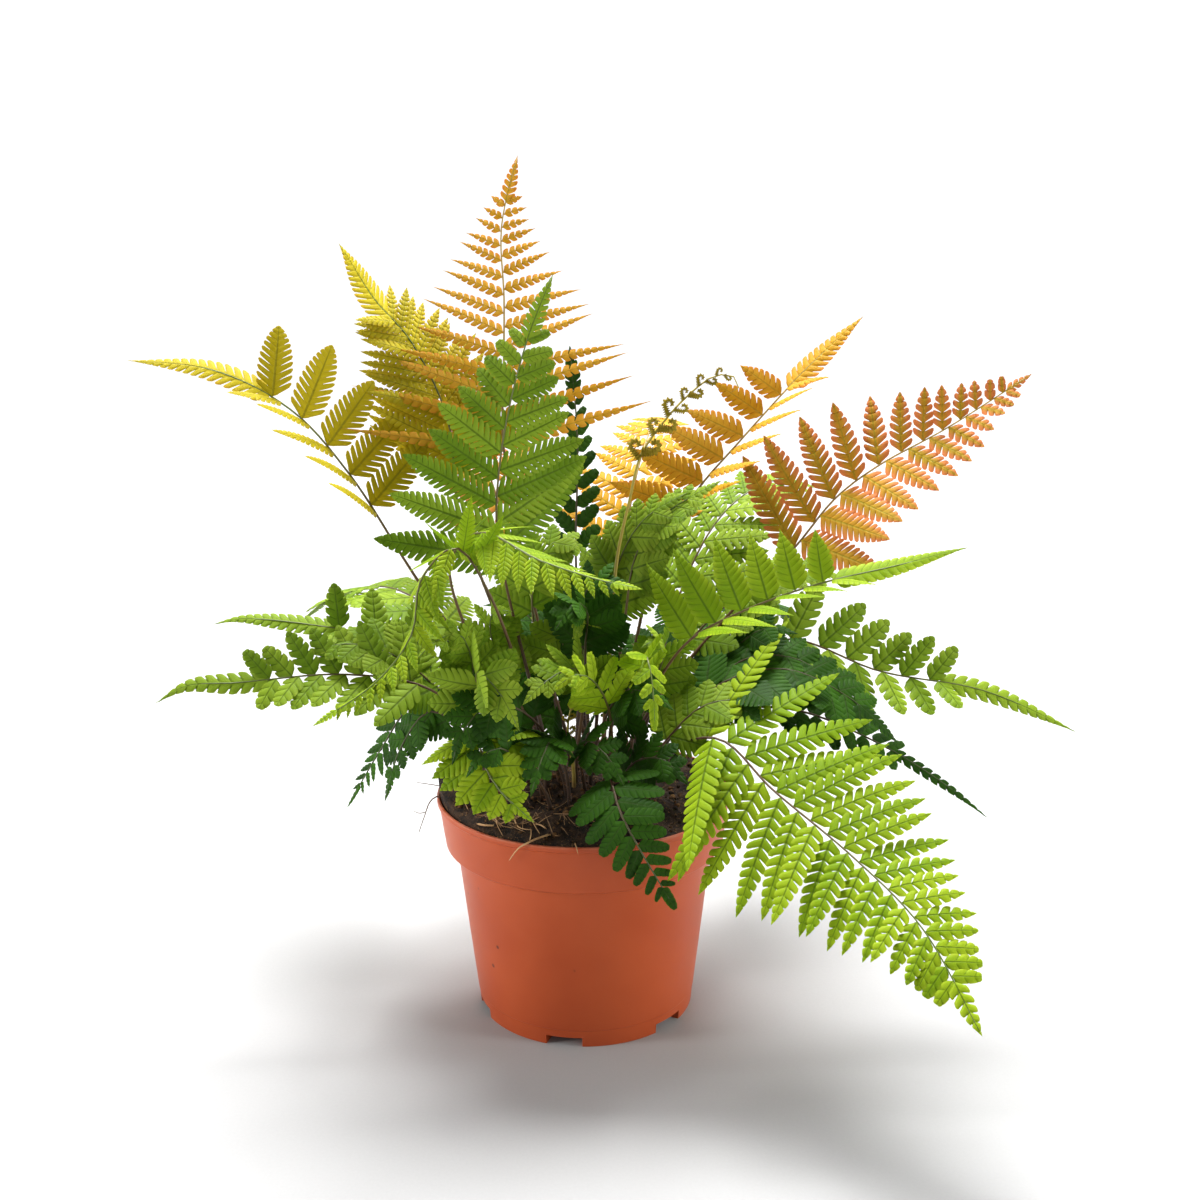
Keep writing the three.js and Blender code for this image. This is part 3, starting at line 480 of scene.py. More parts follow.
# Mid-green fronds
# A frond is one stalk that runs on as the midrib of the blade, with leaflets in pairs on both
# sides. Each leaflet is cut into rounded lobes, deep near its root and shallow near its tip.
# These are grown ones: firm, a little glossy, with a brown stalk.
stalk_radius = 1.0 * MM
rib_radius = 0.5 * MM
tip_radius = 0.22 * MM
leaf_thickness = 0.34 * MM
route_steps = 24
look_ahead = 0.004
stalk_step = 5 * MM
fewest_rings = 10
end_share = 0.997
swing_loss = 16
swing_spread = 2.5
lift_spread = 5
length_spread = 0.03
late_growth = 0.25
pair_stagger = 0.15
tail_point = 1.3
tail_overlap = 0.3
tail_share = 0.98
leaf_thin_width = 1.5 * MM
leaf_droop = 0.13
droop_spread = 0.15
leaf_cupping = 0.10
seam_depth = 0.09
wave_height = 0.012
rib_rise = 0.12 * MM
lobe_limits = (2, 16)
lobe_slant = 0.42
lobe_crowding = 1.12
last_lobe_share = 0.8
lobe_phases = np.array([-1, -0.84, -0.70, -0.15, 0.40, 0.78])
lobe_outline = np.array([0, 0.08, 0.86, 1, 0.97, 0.80])
tip_phases = np.array([0.02, 0.25, 0.5, 0.78])
tip_outline = np.array([0, 0.9, 1, 1])
tip_seams = [1, 0.5, 0.3, 0.2]
joined_from = 0.35
joined_over = 0.6
joined_power = 1.5
joined_notch = 0.88
whole_notch = 0.92


class Way:
    """A smooth route through given points, with the directions round it at any share."""

    def __init__(self, points, face):
        points = np.array(points, float) * MM
        points = np.vstack([2 * points[0] - points[1], points, 2 * points[-1] - points[-2]])
        gaps = np.sqrt(np.linalg.norm(np.diff(points, axis=0), axis=1))
        runs = []
        for k in range(1, len(points) - 2):
            before, start, end, after = points[k - 1:k + 3]
            gap = gaps[k]
            leave = gap * ((start - before) / gaps[k - 1] - (end - before) / (gaps[k - 1] + gap)
                           + (end - start) / gap)
            arrive = gap * ((end - start) / gap - (after - start) / (gap + gaps[k + 1])
                            + (after - end) / gaps[k + 1])
            t = np.linspace(0, 1, route_steps, endpoint=False)[:, None]
            bend = 3 * (end - start) - 2 * leave - arrive
            twist = leave + arrive - 2 * (end - start)
            runs.append(start + leave * t + bend * t ** 2 + twist * t ** 3)
        self.line = np.vstack(runs + [points[-2]])
        steps = np.linalg.norm(np.diff(self.line, axis=0), axis=1)
        travelled = np.concatenate([[0], np.cumsum(steps)])
        self.length = travelled[-1]
        self.shares = travelled / self.length
        self.face = np.array(face, float)

    def at(self, shares):
        return np.stack([np.interp(shares, self.shares, axis) for axis in self.line.T], axis=-1)

    def directions(self, shares):
        """The way along, the upper side and the right side, at each share."""
        shares = np.asarray(shares, float)
        ahead = self.at(np.minimum(shares + look_ahead, 1))
        along = unit(ahead - self.at(np.maximum(shares - look_ahead, 0)))
        above = unit(self.face - along * (along @ self.face)[..., None])
        return along, above, np.cross(along, above)


def unit(vectors):
    return vectors / np.linalg.norm(vectors, axis=-1, keepdims=True)


class Skin:
    """A closed skin of rings of eight points from pole to pole, ready to be bent to a shape."""

    made = {}

    def __init__(self, rings, creased):
        body = bmesh.new()
        bmesh.ops.create_uvsphere(body, u_segments=8, v_segments=rings + 1, radius=1)
        for edge in body.edges:
            edge.smooth = not creased or any(abs(vert.co.y) > 1e-4 for vert in edge.verts)
        places = np.array([vert.co for vert in body.verts])
        self.mesh = mesh_of(body, f"skin_{rings}_{creased}")
        fall = np.arccos(np.clip(places[:, 2], -1, 1)) / pi
        self.ring = np.rint((1 - fall) * (rings + 1)).astype(int)
        radius = np.maximum(np.hypot(places[:, 0], places[:, 1]), 1e-6)
        self.across, self.up = places[:, 0] / radius, places[:, 1] / radius
        poles = (self.ring == 0) | (self.ring == rings + 1)
        self.across[poles] = 0
        self.up[poles] = 0

    @classmethod
    def of(cls, rings, creased):
        if (rings, creased) not in cls.made:
            cls.made[rings, creased] = cls(rings, creased)
        return cls.made[rings, creased]

    def bent(self, places, along, across=0, seam=0, under=None, luck=0):
        """This skin at its places, with what its material reads at each of its points."""
        under = (1 - self.up) / 2 if under is None else under
        notes = [np.zeros(len(self.up)) + note for note in (along, across, seam, under, luck)]
        return self.mesh, places, notes


leaf_notes = ("leaf_along", "leaf_across", "leaf_seam", "leaf_under", "leaf_luck")


def stalk_part(way, blade):
    """The stalk and midrib of one frond, as one tapered tube."""
    rings = max(int(way.length / stalk_step), fewest_rings)
    skin = Skin.of(rings, False)
    shares = skin.ring / (rings + 1) * end_share
    _, above, right = way.directions(shares)
    radius = np.interp(shares, [0, blade, 1], [stalk_radius, rib_radius, tip_radius])[:, None]
    places = way.at(shares) + radius * (-right * skin.across[:, None] + above * skin.up[:, None])
    return skin.bent(places, shares)


def lobe_stations(root, lobes, notch):
    """Where a leaflet's rings lie, how far each reaches sideways, and how near a seam it is."""
    left = 1 - np.arange(lobes + 1) / (lobes + last_lobe_share)
    edges = root + (1 - root) * (1 - left ** lobe_crowding)
    middles = (edges[1:] + edges[:-1]) / 2
    halves = (edges[1:] - edges[:-1]) / 2
    s = (middles[:, None] + halves[:, None] * lobe_phases).ravel()
    joined = np.clip((s - joined_from) / joined_over, 0, 1)
    cut = notch + (joined_notch - notch) * joined ** joined_power
    outline = cut + (1 - cut) * np.tile(lobe_outline, lobes)
    seam = np.tile(np.abs(lobe_phases), lobes)
    last = edges[-1] + (1 - edges[-1]) * tip_phases
    closing = cut[-1] + (1 - cut[-1]) * tip_outline
    s = np.concatenate([[root], s, last, [1]])
    outline = np.concatenate([[0], outline, closing, [0]])
    return s, outline, np.concatenate([[1], seam, tip_seams, [0]])


def leaflet_part(way, spec, share, side, swing, length, half, draw):
    """One leaflet, cut into lobes on both sides of its own rib. Short ones are whole. With a
    swing of 0 it is the end of the blade, and its rib is the last part of the midrib."""
    pitch, notch = spec["lobe_pitch"] * MM, spec["notch"]
    lobes = int(np.clip(round(length / pitch), *lobe_limits))
    root = min(rib_radius / 2 / length, 0.2)
    whole_length = spec["whole"] * MM
    whole = np.clip((whole_length - length) / (whole_length / 2), 0, 1)
    s, outline, seam = lobe_stations(root, lobes, notch + (whole_notch - notch) * whole)
    skin = Skin.of(len(s) - 2, True)
    s, outline, seam = s[skin.ring], outline[skin.ring], seam[skin.ring]
    to_edge = np.abs(skin.across)

    ends = swing == 0
    swing = radians(swing)
    lift = 0 if ends else radians(spec["lift"] + draw.normal(0, lift_spread))
    along, above, right = (axis[0] for axis in way.directions([share]))
    outward = right * side * cos(lift) + above * sin(lift)
    normal = above * cos(lift) - right * side * sin(lift)
    direction = outward * sin(swing) + along * cos(swing)
    forward = side * np.cross(normal, direction)

    point = spec["blunt"] * whole + spec["point"] * (1 - whole)
    envelope = half * (1 - s) ** point * (1 + 1.5 * point * s)
    sideways = envelope * outline * to_edge
    reach = s + sideways * lobe_slant * (1 + 0.5 * sideways / half) / length
    drop = (leaf_cupping * sideways ** 2 / half
            + seam_depth * pitch * seam ** 2 * np.minimum(1, 3 * to_edge))
    wave = wave_height * length * s * sin(6 * share + side) * np.sin(5 * s + 9 * share)
    thick = leaf_thickness / 2 * np.minimum(1, envelope / leaf_thin_width)
    raised = thick * skin.up - drop + wave + rib_rise * (1 - s) * (skin.across == 0)
    bow = leaf_droop * draw.normal(1, droop_spread) * length * reach ** 2
    if ends:
        spine = way.at(share + (end_share - share) * reach)
    else:
        spine = way.at([share]) + direction * (length * reach)[:, None] - normal * bow[:, None]
    spread = (side * sideways * np.sign(skin.across))[:, None]
    places = spine + forward * spread + normal * raised[:, None]
    return skin.bent(places, share, to_edge * outline, seam, luck=draw.random())


def frond_parts(spec):
    """The stalk of a frond and all its leaflets."""
    way = Way(spec["way"], spec["face"])
    draw = np.random.default_rng(len(spec["name"]) * 131 + spec["reach"])
    blade, power = spec["blade"], spec["spacing"]
    end = spec["tail"] ** (1 / power)
    stations = 1 - (1 - blade) * np.linspace(1, end, spec["pairs"] + 1) ** power
    thin_side, thin_swing, slim = spec["thin"]
    parts = [stalk_part(way, blade)]
    for near, far in zip(stations, stations[1:]):
        share = (near + far) / 2
        left = (1 - share) / (1 - blade)
        length = spec["reach"] * MM * left ** spec["taper"] * (1 + late_growth * (1 - left))
        fill = spec["tip_fill"] + (spec["fill"] - spec["tip_fill"]) * left
        half = fill * (far - near) * way.length * sin(radians(spec["swing"]))
        half = min(half, spec["slender"] * length)
        for side in (1, -1):
            narrow = side == thin_side
            root = share + pair_stagger * (far - near) * side
            swing = thin_swing if narrow else spec["swing"]
            swing -= swing_loss * (1 - left) - draw.normal(0, swing_spread)
            grown = length * draw.normal(1, length_spread)
            width = half * slim if narrow else half
            parts.append(leaflet_part(way, spec, root, side, swing, grown, width, draw))
    last = stations[-1] - tail_overlap * (stations[-1] - stations[-2])
    tip_length = tail_share * (1 - last) * way.length
    tip_spec = {**spec, "point": tail_point}
    tip_half = spec["tail_width"] * tip_length
    parts.append(leaflet_part(way, tip_spec, last, 1, 0, tip_length, tip_half, draw))
    return parts


def grow(name, parts, materials):
    """Joins bent skins into one piece. The first is the stalk, with the first material."""
    body = bmesh.new()
    for skin, _, _ in parts:
        body.from_mesh(skin)
    mesh = mesh_of(body, name)
    mesh.vertices.foreach_set("co", np.concatenate([places for _, places, _ in parts]).ravel())
    for k, note in enumerate(leaf_notes):
        values = np.concatenate([notes[k] for _, _, notes in parts])
        mesh.attributes.new(note, "FLOAT", "POINT").data.foreach_set("value", values)
    if len(materials) > 1:
        stalk_faces = len(parts[0][0].polygons)
        choice = (np.arange(len(mesh.polygons)) >= stalk_faces).astype(np.int32)
        mesh.polygons.foreach_set("material_index", choice)
    mesh.update()
    return link_piece(name, mesh, materials)


def leaf_material(name, rib, blade, pale, tip, under, glow, slit_shading, tip_start):
    """A leaf skin: a coloured rib, a mottled blade, lobes that change colour towards their
    ends, painted shade in the slits between the lobes, forked veins, a paler under side,
    and light shining through."""
    material, place = new_material(name)
    along, across, seam, below, luck = (place.note(note) for note in leaf_notes)
    mottle = place.noise(90, 3)
    tone = (mottle * 0.6 + luck * 0.5).rise(0.25, 0.85).blend(blade, pale)
    tint = across * 0.75 + along * 0.35 + (mottle - 0.5) * 0.5
    tone = tint.rise(tip_start, tip_start + 0.5).blend(tone, tip)
    branch = place.math("FRACT", across * 9 - seam * 2.2)
    side_vein = 1 - place.math("ABSOLUTE", branch - 0.5).rise(0.0, 0.16)
    main_vein = (1 - seam.rise(0.02, 0.12)) * across.rise(0.05, 0.14)
    rib_line = 1 - across.rise(0.03, 0.09)
    veins = side_vein * 0.35 + main_vein * 0.7
    tone = (veins * 0.35).blend(tone, rib)
    tone = (rib_line * 0.85).blend(tone, rib)
    # Painted shade in the slits between the lobes: darker there on most leaves, paler on the olive leaf.
    tone = (seam.rise(0.80, 0.98) * across.rise(0.12, 0.3) * 0.75).blend(tone, slit_shading)
    tone = (below.rise(0.52, 0.6) * 0.65).blend(tone, under)
    height = 1 - veins * 0.7 - rib_line * 0.8 + place.noise(1500, 3) * 0.35
    relief = height.relief(0.55, 0.35 * MM)
    face = place.skin(tone, 0.42 + 0.2 * mottle, 0.13, {"Normal": relief})
    through = place.node("BsdfTranslucent", inputs={"Color": glow, "Normal": relief})
    place.node("MixShader", inputs={0: 0.32, 1: face, 2: through}).finish()
    return material


def stalk_material(name, foot, middle, tip):
    """A stalk's skin: darker and scaly at its foot, with fine lengthwise streaks."""
    material, place = new_material(name)
    streak = place.noise(700, 3)
    along = place.note("leaf_along") + (streak - 0.5) * 0.2
    tone = along.rise(0.02, 0.42).blend(foot, middle)
    tone = along.rise(0.40, 0.95).blend(tone, tip)
    relief = streak.relief(0.4, 0.2 * MM)
    place.skin(tone, 0.42 + 0.2 * streak, more={"Normal": relief}).finish()
    return material


# Each frond is given its way, the route from the stalk's foot to the tip; blade, where the
# leaflets begin, as a share of the route; pairs, how many there are; reach, the longest one;
# face, where the upper side looks; swing, their angle to the midrib; and lobe_pitch and notch,
# how far apart the lobes are and how much of the leaflet's width is left between them.
usual_frond = dict(
    spacing=1.5,  # how much closer the leaflets stand towards the tip
    taper=0.85,  # how early they shorten
    lift=0,  # how far they rise from flat
    fill=0.70,  # how much of the room between them the first ones take
    tip_fill=0.50,  # and the last ones
    slender=0.24,  # the widest they get for their length
    thin=(0, 0, 1),  # the side with narrow ones, their swing and their width
    point=0.9,  # how pointed the lobed ones are
    blunt=0.45,  # and the whole ones
    whole=22,  # the length below which they have no lobes
    tail=0.09,  # how much of the blade the undivided end takes
    tail_width=0.17,  # the width of that end for its length
)
small_frond = dict(
    spacing=1.2, swing=62, fill=1.1, tip_fill=0.85, slender=0.36, point=1, blunt=0.8, whole=9,
    tail=0.22, lobe_pitch=2.8, notch=0.6,
)


def set_fronds(specs, stalk, leaf):
    """Grows each frond of a list in the place of its plain solid."""
    for spec in specs:
        parts = frond_parts({**usual_frond, **spec})
        frond = grow(spec["name"].replace("frond_", "leafy_"), parts, [stalk, leaf])
        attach(frond, "root")
        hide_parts(spec["name"])


green_stalk = stalk_material("green_stalk", rgb(52, 32, 18), rgb(92, 66, 30), rgb(90, 112, 28))
mid_green_leaf = leaf_material(
    "mid_green_leaf", rib=rgb(78, 100, 26), blade=rgb(112, 144, 26), pale=rgb(150, 178, 46),
    tip=rgb(164, 184, 58), under=rgb(132, 152, 76), glow=rgb(138, 174, 12), slit_shading=rgb(52, 74, 12),
    tip_start=0.7,
)
mid_green_fronds = [
    dict(name="frond_tall_green", blade=0.45, pairs=10, reach=55, face=(0.2, -0.45, 0.87),
         way=[(-12, 2, 88), (-16, 2, 112), (-33, 2, 196), (-32, 4, 222), (-27, 8, 249), (-20, 14, 273),
              (-10, 20, 297)],
         swing=66, taper=1.4, fill=0.75, point=0.85, tail=0.22, tail_width=0.14, lobe_pitch=2.7, notch=0.3),
    dict(name="frond_far_right_green", blade=0.36, pairs=7, reach=30, face=(0.1, -0.77, 0.63),
         way=[(26, 4, 88), (29, 4, 108), (60, 4, 145), (83, 4, 153), (119, 2, 140), (161, -4, 133),
              (196, -12, 118)],
         swing=66, spacing=1.2, lift=26, fill=0.55, point=0.75, tail=0.4, tail_width=0.08, lobe_pitch=4.4,
         notch=0.5),
    dict(name="frond_left_green", blade=0.42, pairs=3, reach=27, face=(0.33, -0.61, 0.72),
         way=[(-29, 3, 88), (-32, 4, 108), (-60, 10, 142), (-83, 10, 153), (-104, 6, 159), (-135, 0, 164),
              (-147, -2, 162)],
         swing=76, spacing=1.1, lift=34, fill=0.36, thin=(-1, 40, 0.5), tail=0.5, tail_width=0.09,
         lobe_pitch=3.4, notch=0.6),
    dict(name="frond_low_left_green", blade=0.38, pairs=7, reach=26, face=(0.19, -0.78, 0.6),
         way=[(-27, -8, 88), (-30, -9, 107), (-60, -12, 138), (-92, -14, 145), (-133, -24, 145),
              (-151, -28, 145), (-163, -32, 139)],
         swing=64, spacing=1.2, lift=20, fill=0.62, point=0.8, tail=0.4, tail_width=0.1, lobe_pitch=4.2,
         notch=0.5),
    dict(name="frond_back_right_green", blade=0.45, pairs=10, reach=36, face=(-0.3, -0.4, 0.85),
         way=[(24, 24, 88), (26, 26, 110), (44, 44, 170), (62, 58, 196), (84, 72, 206), (106, 84, 200)],
         swing=66, fill=0.75, tail=0.2, lobe_pitch=4, notch=0.3),
    dict(small_frond, name="frond_centre_mid", blade=0.6, pairs=6, reach=17, face=(0.3, -0.8, 0.5),
         way=[(-9, -10, 88), (-12, -13, 108), (-40, -22, 141), (-42, -30, 157), (-46, -38, 168),
              (-55, -44, 166)]),
    dict(small_frond, name="frond_inner_olive", blade=0.58, pairs=6, reach=22, face=(0, -0.5, 0.85),
         way=[(-5, 10, 88), (-7, 10, 110), (-20, 11, 160), (-18, 13, 184), (-8, 15, 192), (6, 13, 184)]),
    dict(small_frond, name="frond_inner_right", blade=0.55, pairs=8, reach=22, face=(-0.4, -0.6, 0.7),
         way=[(9, 14, 88), (11, 15, 110), (17, 16, 158), (22, 16, 186), (33, 14, 202), (56, 10, 217)],
         swing=60),
    dict(small_frond, name="frond_left_cluster", blade=0.48, pairs=7, reach=24, face=(0.1, -0.5, 0.85),
         way=[(-24, -1, 88), (-28, -1, 108), (-58, -3, 136), (-76, -6, 151), (-93, -9, 156),
              (-112, -12, 152)]),
    dict(small_frond, name="frond_low_right", blade=0.4, pairs=7, reach=20, face=(-0.2, -0.5, 0.85),
         way=[(20, -24, 88), (22, -27, 106), (33, -26, 122), (46, -24, 134), (60, -26, 137),
              (74, -30, 130)]),
    dict(name="frond_upper_right_inner", blade=0.42, pairs=8, reach=28, face=(-0.3, -0.4, 0.85),
         way=[(22, 16, 88), (24, 17, 108), (42, 18, 146), (64, 20, 167), (88, 22, 178), (110, 24, 172)],
         swing=64, fill=0.8, tail=0.2, lobe_pitch=4.2, notch=0.35),
    dict(name="frond_back_left_green", blade=0.38, pairs=9, reach=36, face=(0.3, -0.3, 0.9),
         way=[(-28, 22, 88), (-31, 25, 108), (-58, 46, 148), (-84, 66, 160), (-112, 88, 152),
              (-134, 106, 134)],
         swing=66, fill=0.75, tail=0.2, lobe_pitch=4.4, notch=0.35),
    dict(name="frond_back_green", blade=0.38, pairs=9, reach=36, face=(0, -0.3, 0.95),
         way=[(-2, 36, 88), (-3, 39, 108), (-8, 70, 146), (-12, 100, 156), (-18, 132, 146),
              (-24, 158, 124)],
         swing=66, fill=0.75, tail=0.2, lobe_pitch=4.4, notch=0.35),
    dict(small_frond, name="frond_gap_left", blade=0.5, pairs=6, reach=20, face=(-0.1, -0.7, 0.7),
         way=[(-16, 8, 88), (-19, 6, 108), (-30, 0, 140), (-36, -6, 158), (-34, -14, 170), (-26, -22, 172)]),
    dict(small_frond, name="frond_gap_middle", blade=0.5, pairs=5, reach=22, face=(0, -0.7, 0.7),
         way=[(0, 17, 88), (0, 15, 108), (-6, 8, 140), (-8, 2, 158), (-2, -6, 166), (8, -12, 162)]),
    dict(small_frond, name="frond_gap_right", blade=0.5, pairs=5, reach=20, face=(0.1, -0.7, 0.7),
         way=[(16, 2, 88), (18, 0, 108), (28, -4, 136), (32, -10, 152), (30, -18, 160), (22, -26, 158)]),
    dict(small_frond, name="frond_lower_left", blade=0.5, pairs=5, reach=24, face=(-0.2, -0.85, 0.5),
         way=[(-15, -21, 88), (-18, -24, 106), (-30, -32, 131), (-39, -42, 150), (-37, -52, 157),
              (-29, -60, 151), (-22, -64, 138)]),
    dict(small_frond, name="frond_lower_middle", blade=0.5, pairs=6, reach=18, face=(0.1, -0.8, 0.6),
         way=[(-3, -6, 88), (-3, -8, 106), (0, -13, 132), (-1, -22, 148), (-8, -36, 152), (-16, -46, 149),
              (-22, -52, 144)]),
    dict(small_frond, name="frond_inner_left", blade=0.45, pairs=5, reach=20, face=(0.1, -0.7, 0.7),
         way=[(-21, 5, 88), (-25, 5, 106), (-38, 4, 128), (-48, -4, 150), (-55, -14, 159), (-64, -22, 153)]),
    dict(small_frond, name="frond_upper_middle", blade=0.5, pairs=7, reach=26, face=(-0.2, -0.7, 0.7),
         way=[(4, 21, 88), (5, 22, 110), (10, 22, 157), (15, 20, 182), (25, 16, 200), (43, 12, 212)]),
]
set_fronds(mid_green_fronds, green_stalk, mid_green_leaf)


# Fresh green fronds
# The youngest opened fronds, bright yellow-green and thin, with the light shining through them.
fresh_green_leaf = leaf_material(
    "fresh_green_leaf", rib=rgb(74, 98, 20), blade=rgb(130, 162, 16), pale=rgb(160, 186, 28),
    tip=rgb(180, 200, 44), under=rgb(150, 176, 84), glow=rgb(168, 200, 8), slit_shading=rgb(84, 116, 10),
    tip_start=0.6,
)
fresh_green_fronds = [
    dict(name="frond_broad_front_right", blade=0.25, pairs=18, reach=60, face=(-0.22, -0.63, 0.75),
         way=[(18, -14, 88), (24, -18, 108), (51, -38, 126), (70, -58, 113), (96, -86, 98),
              (115, -112, 84), (130, -140, 59)],
         swing=74, taper=1, fill=0.72, point=0.95, tail=0.12, lobe_pitch=4, notch=0.1),
    dict(name="frond_right_light_green", blade=0.42, pairs=6, reach=40, face=(-0.42, -0.58, 0.7),
         way=[(13, -6, 88), (15, -8, 110), (28, -22, 142), (41, -28, 162), (61, -34, 175), (86, -40, 186),
              (117, -46, 195), (140, -50, 202)],
         swing=92, taper=1.1, spacing=1.1, lift=38, fill=0.58, tip_fill=0.48, thin=(1, 48, 0.45),
         point=1.45, tail=0.42, tail_width=0.09, lobe_pitch=2.6, notch=0.84),
    dict(name="frond_arching_front", blade=0.55, pairs=13, reach=26, face=(0.1, -0.5, 0.85),
         way=[(-19, -6, 88), (-22, -8, 110), (-44, -14, 160), (-50, -18, 190), (-38, -28, 204),
              (-14, -50, 198), (6, -58, 193), (23, -62, 190)],
         swing=60, lift=-24, fill=0.6, slender=0.17, point=1.3, blunt=1, whole=8, tail=0.12, lobe_pitch=2,
         notch=0.5),
    dict(name="frond_drooping_front_left", blade=0.5, pairs=16, reach=25, face=(-0.7, -0.6, 0.4),
         way=[(-14, -14, 88), (-16, -17, 110), (-34, -30, 180), (-46, -36, 200), (-58, -42, 190),
              (-62, -46, 170), (-73, -56, 156), (-97, -66, 141)],
         swing=55, lift=-24, fill=0.55, slender=0.16, point=1.3, blunt=1, whole=8, tail=0.1, lobe_pitch=2,
         notch=0.5),
    dict(small_frond, name="frond_fresh_front", blade=0.52, pairs=7, reach=26, face=(-0.1, -0.75, 0.6),
         way=[(-33, -14, 88), (-34, -16, 112), (-38, -26, 127), (-39, -41, 129), (-36, -52, 121),
              (-30, -60, 114), (-23, -65, 109), (-17, -69, 105)],
         swing=75, taper=1, spacing=1.1, fill=1.2, point=1.15, blunt=1, whole=6, tail=0.2),
    dict(name="frond_centre_light", blade=0.55, pairs=5, reach=17, face=(0, -0.8, 0.6),
         way=[(10, -18, 88), (11, -21, 106), (10, -32, 136), (4, -40, 150), (-2, -46, 154),
              (-10, -50, 150)],
         swing=60, fill=0.75, point=0.6, tail=0.2, lobe_pitch=3.4, notch=0.4),
    dict(name="frond_centre_right", blade=0.52, pairs=6, reach=15, face=(0.5, -0.8, 0.3),
         way=[(16, -16, 88), (18, -18, 108), (22, -24, 141), (24, -34, 158), (26, -44, 151),
              (27, -50, 133)],
         swing=60, fill=0.8, point=0.8, tail=0.2, lobe_pitch=3.4, notch=0.3),
]
set_fronds(fresh_green_fronds, green_stalk, fresh_green_leaf)


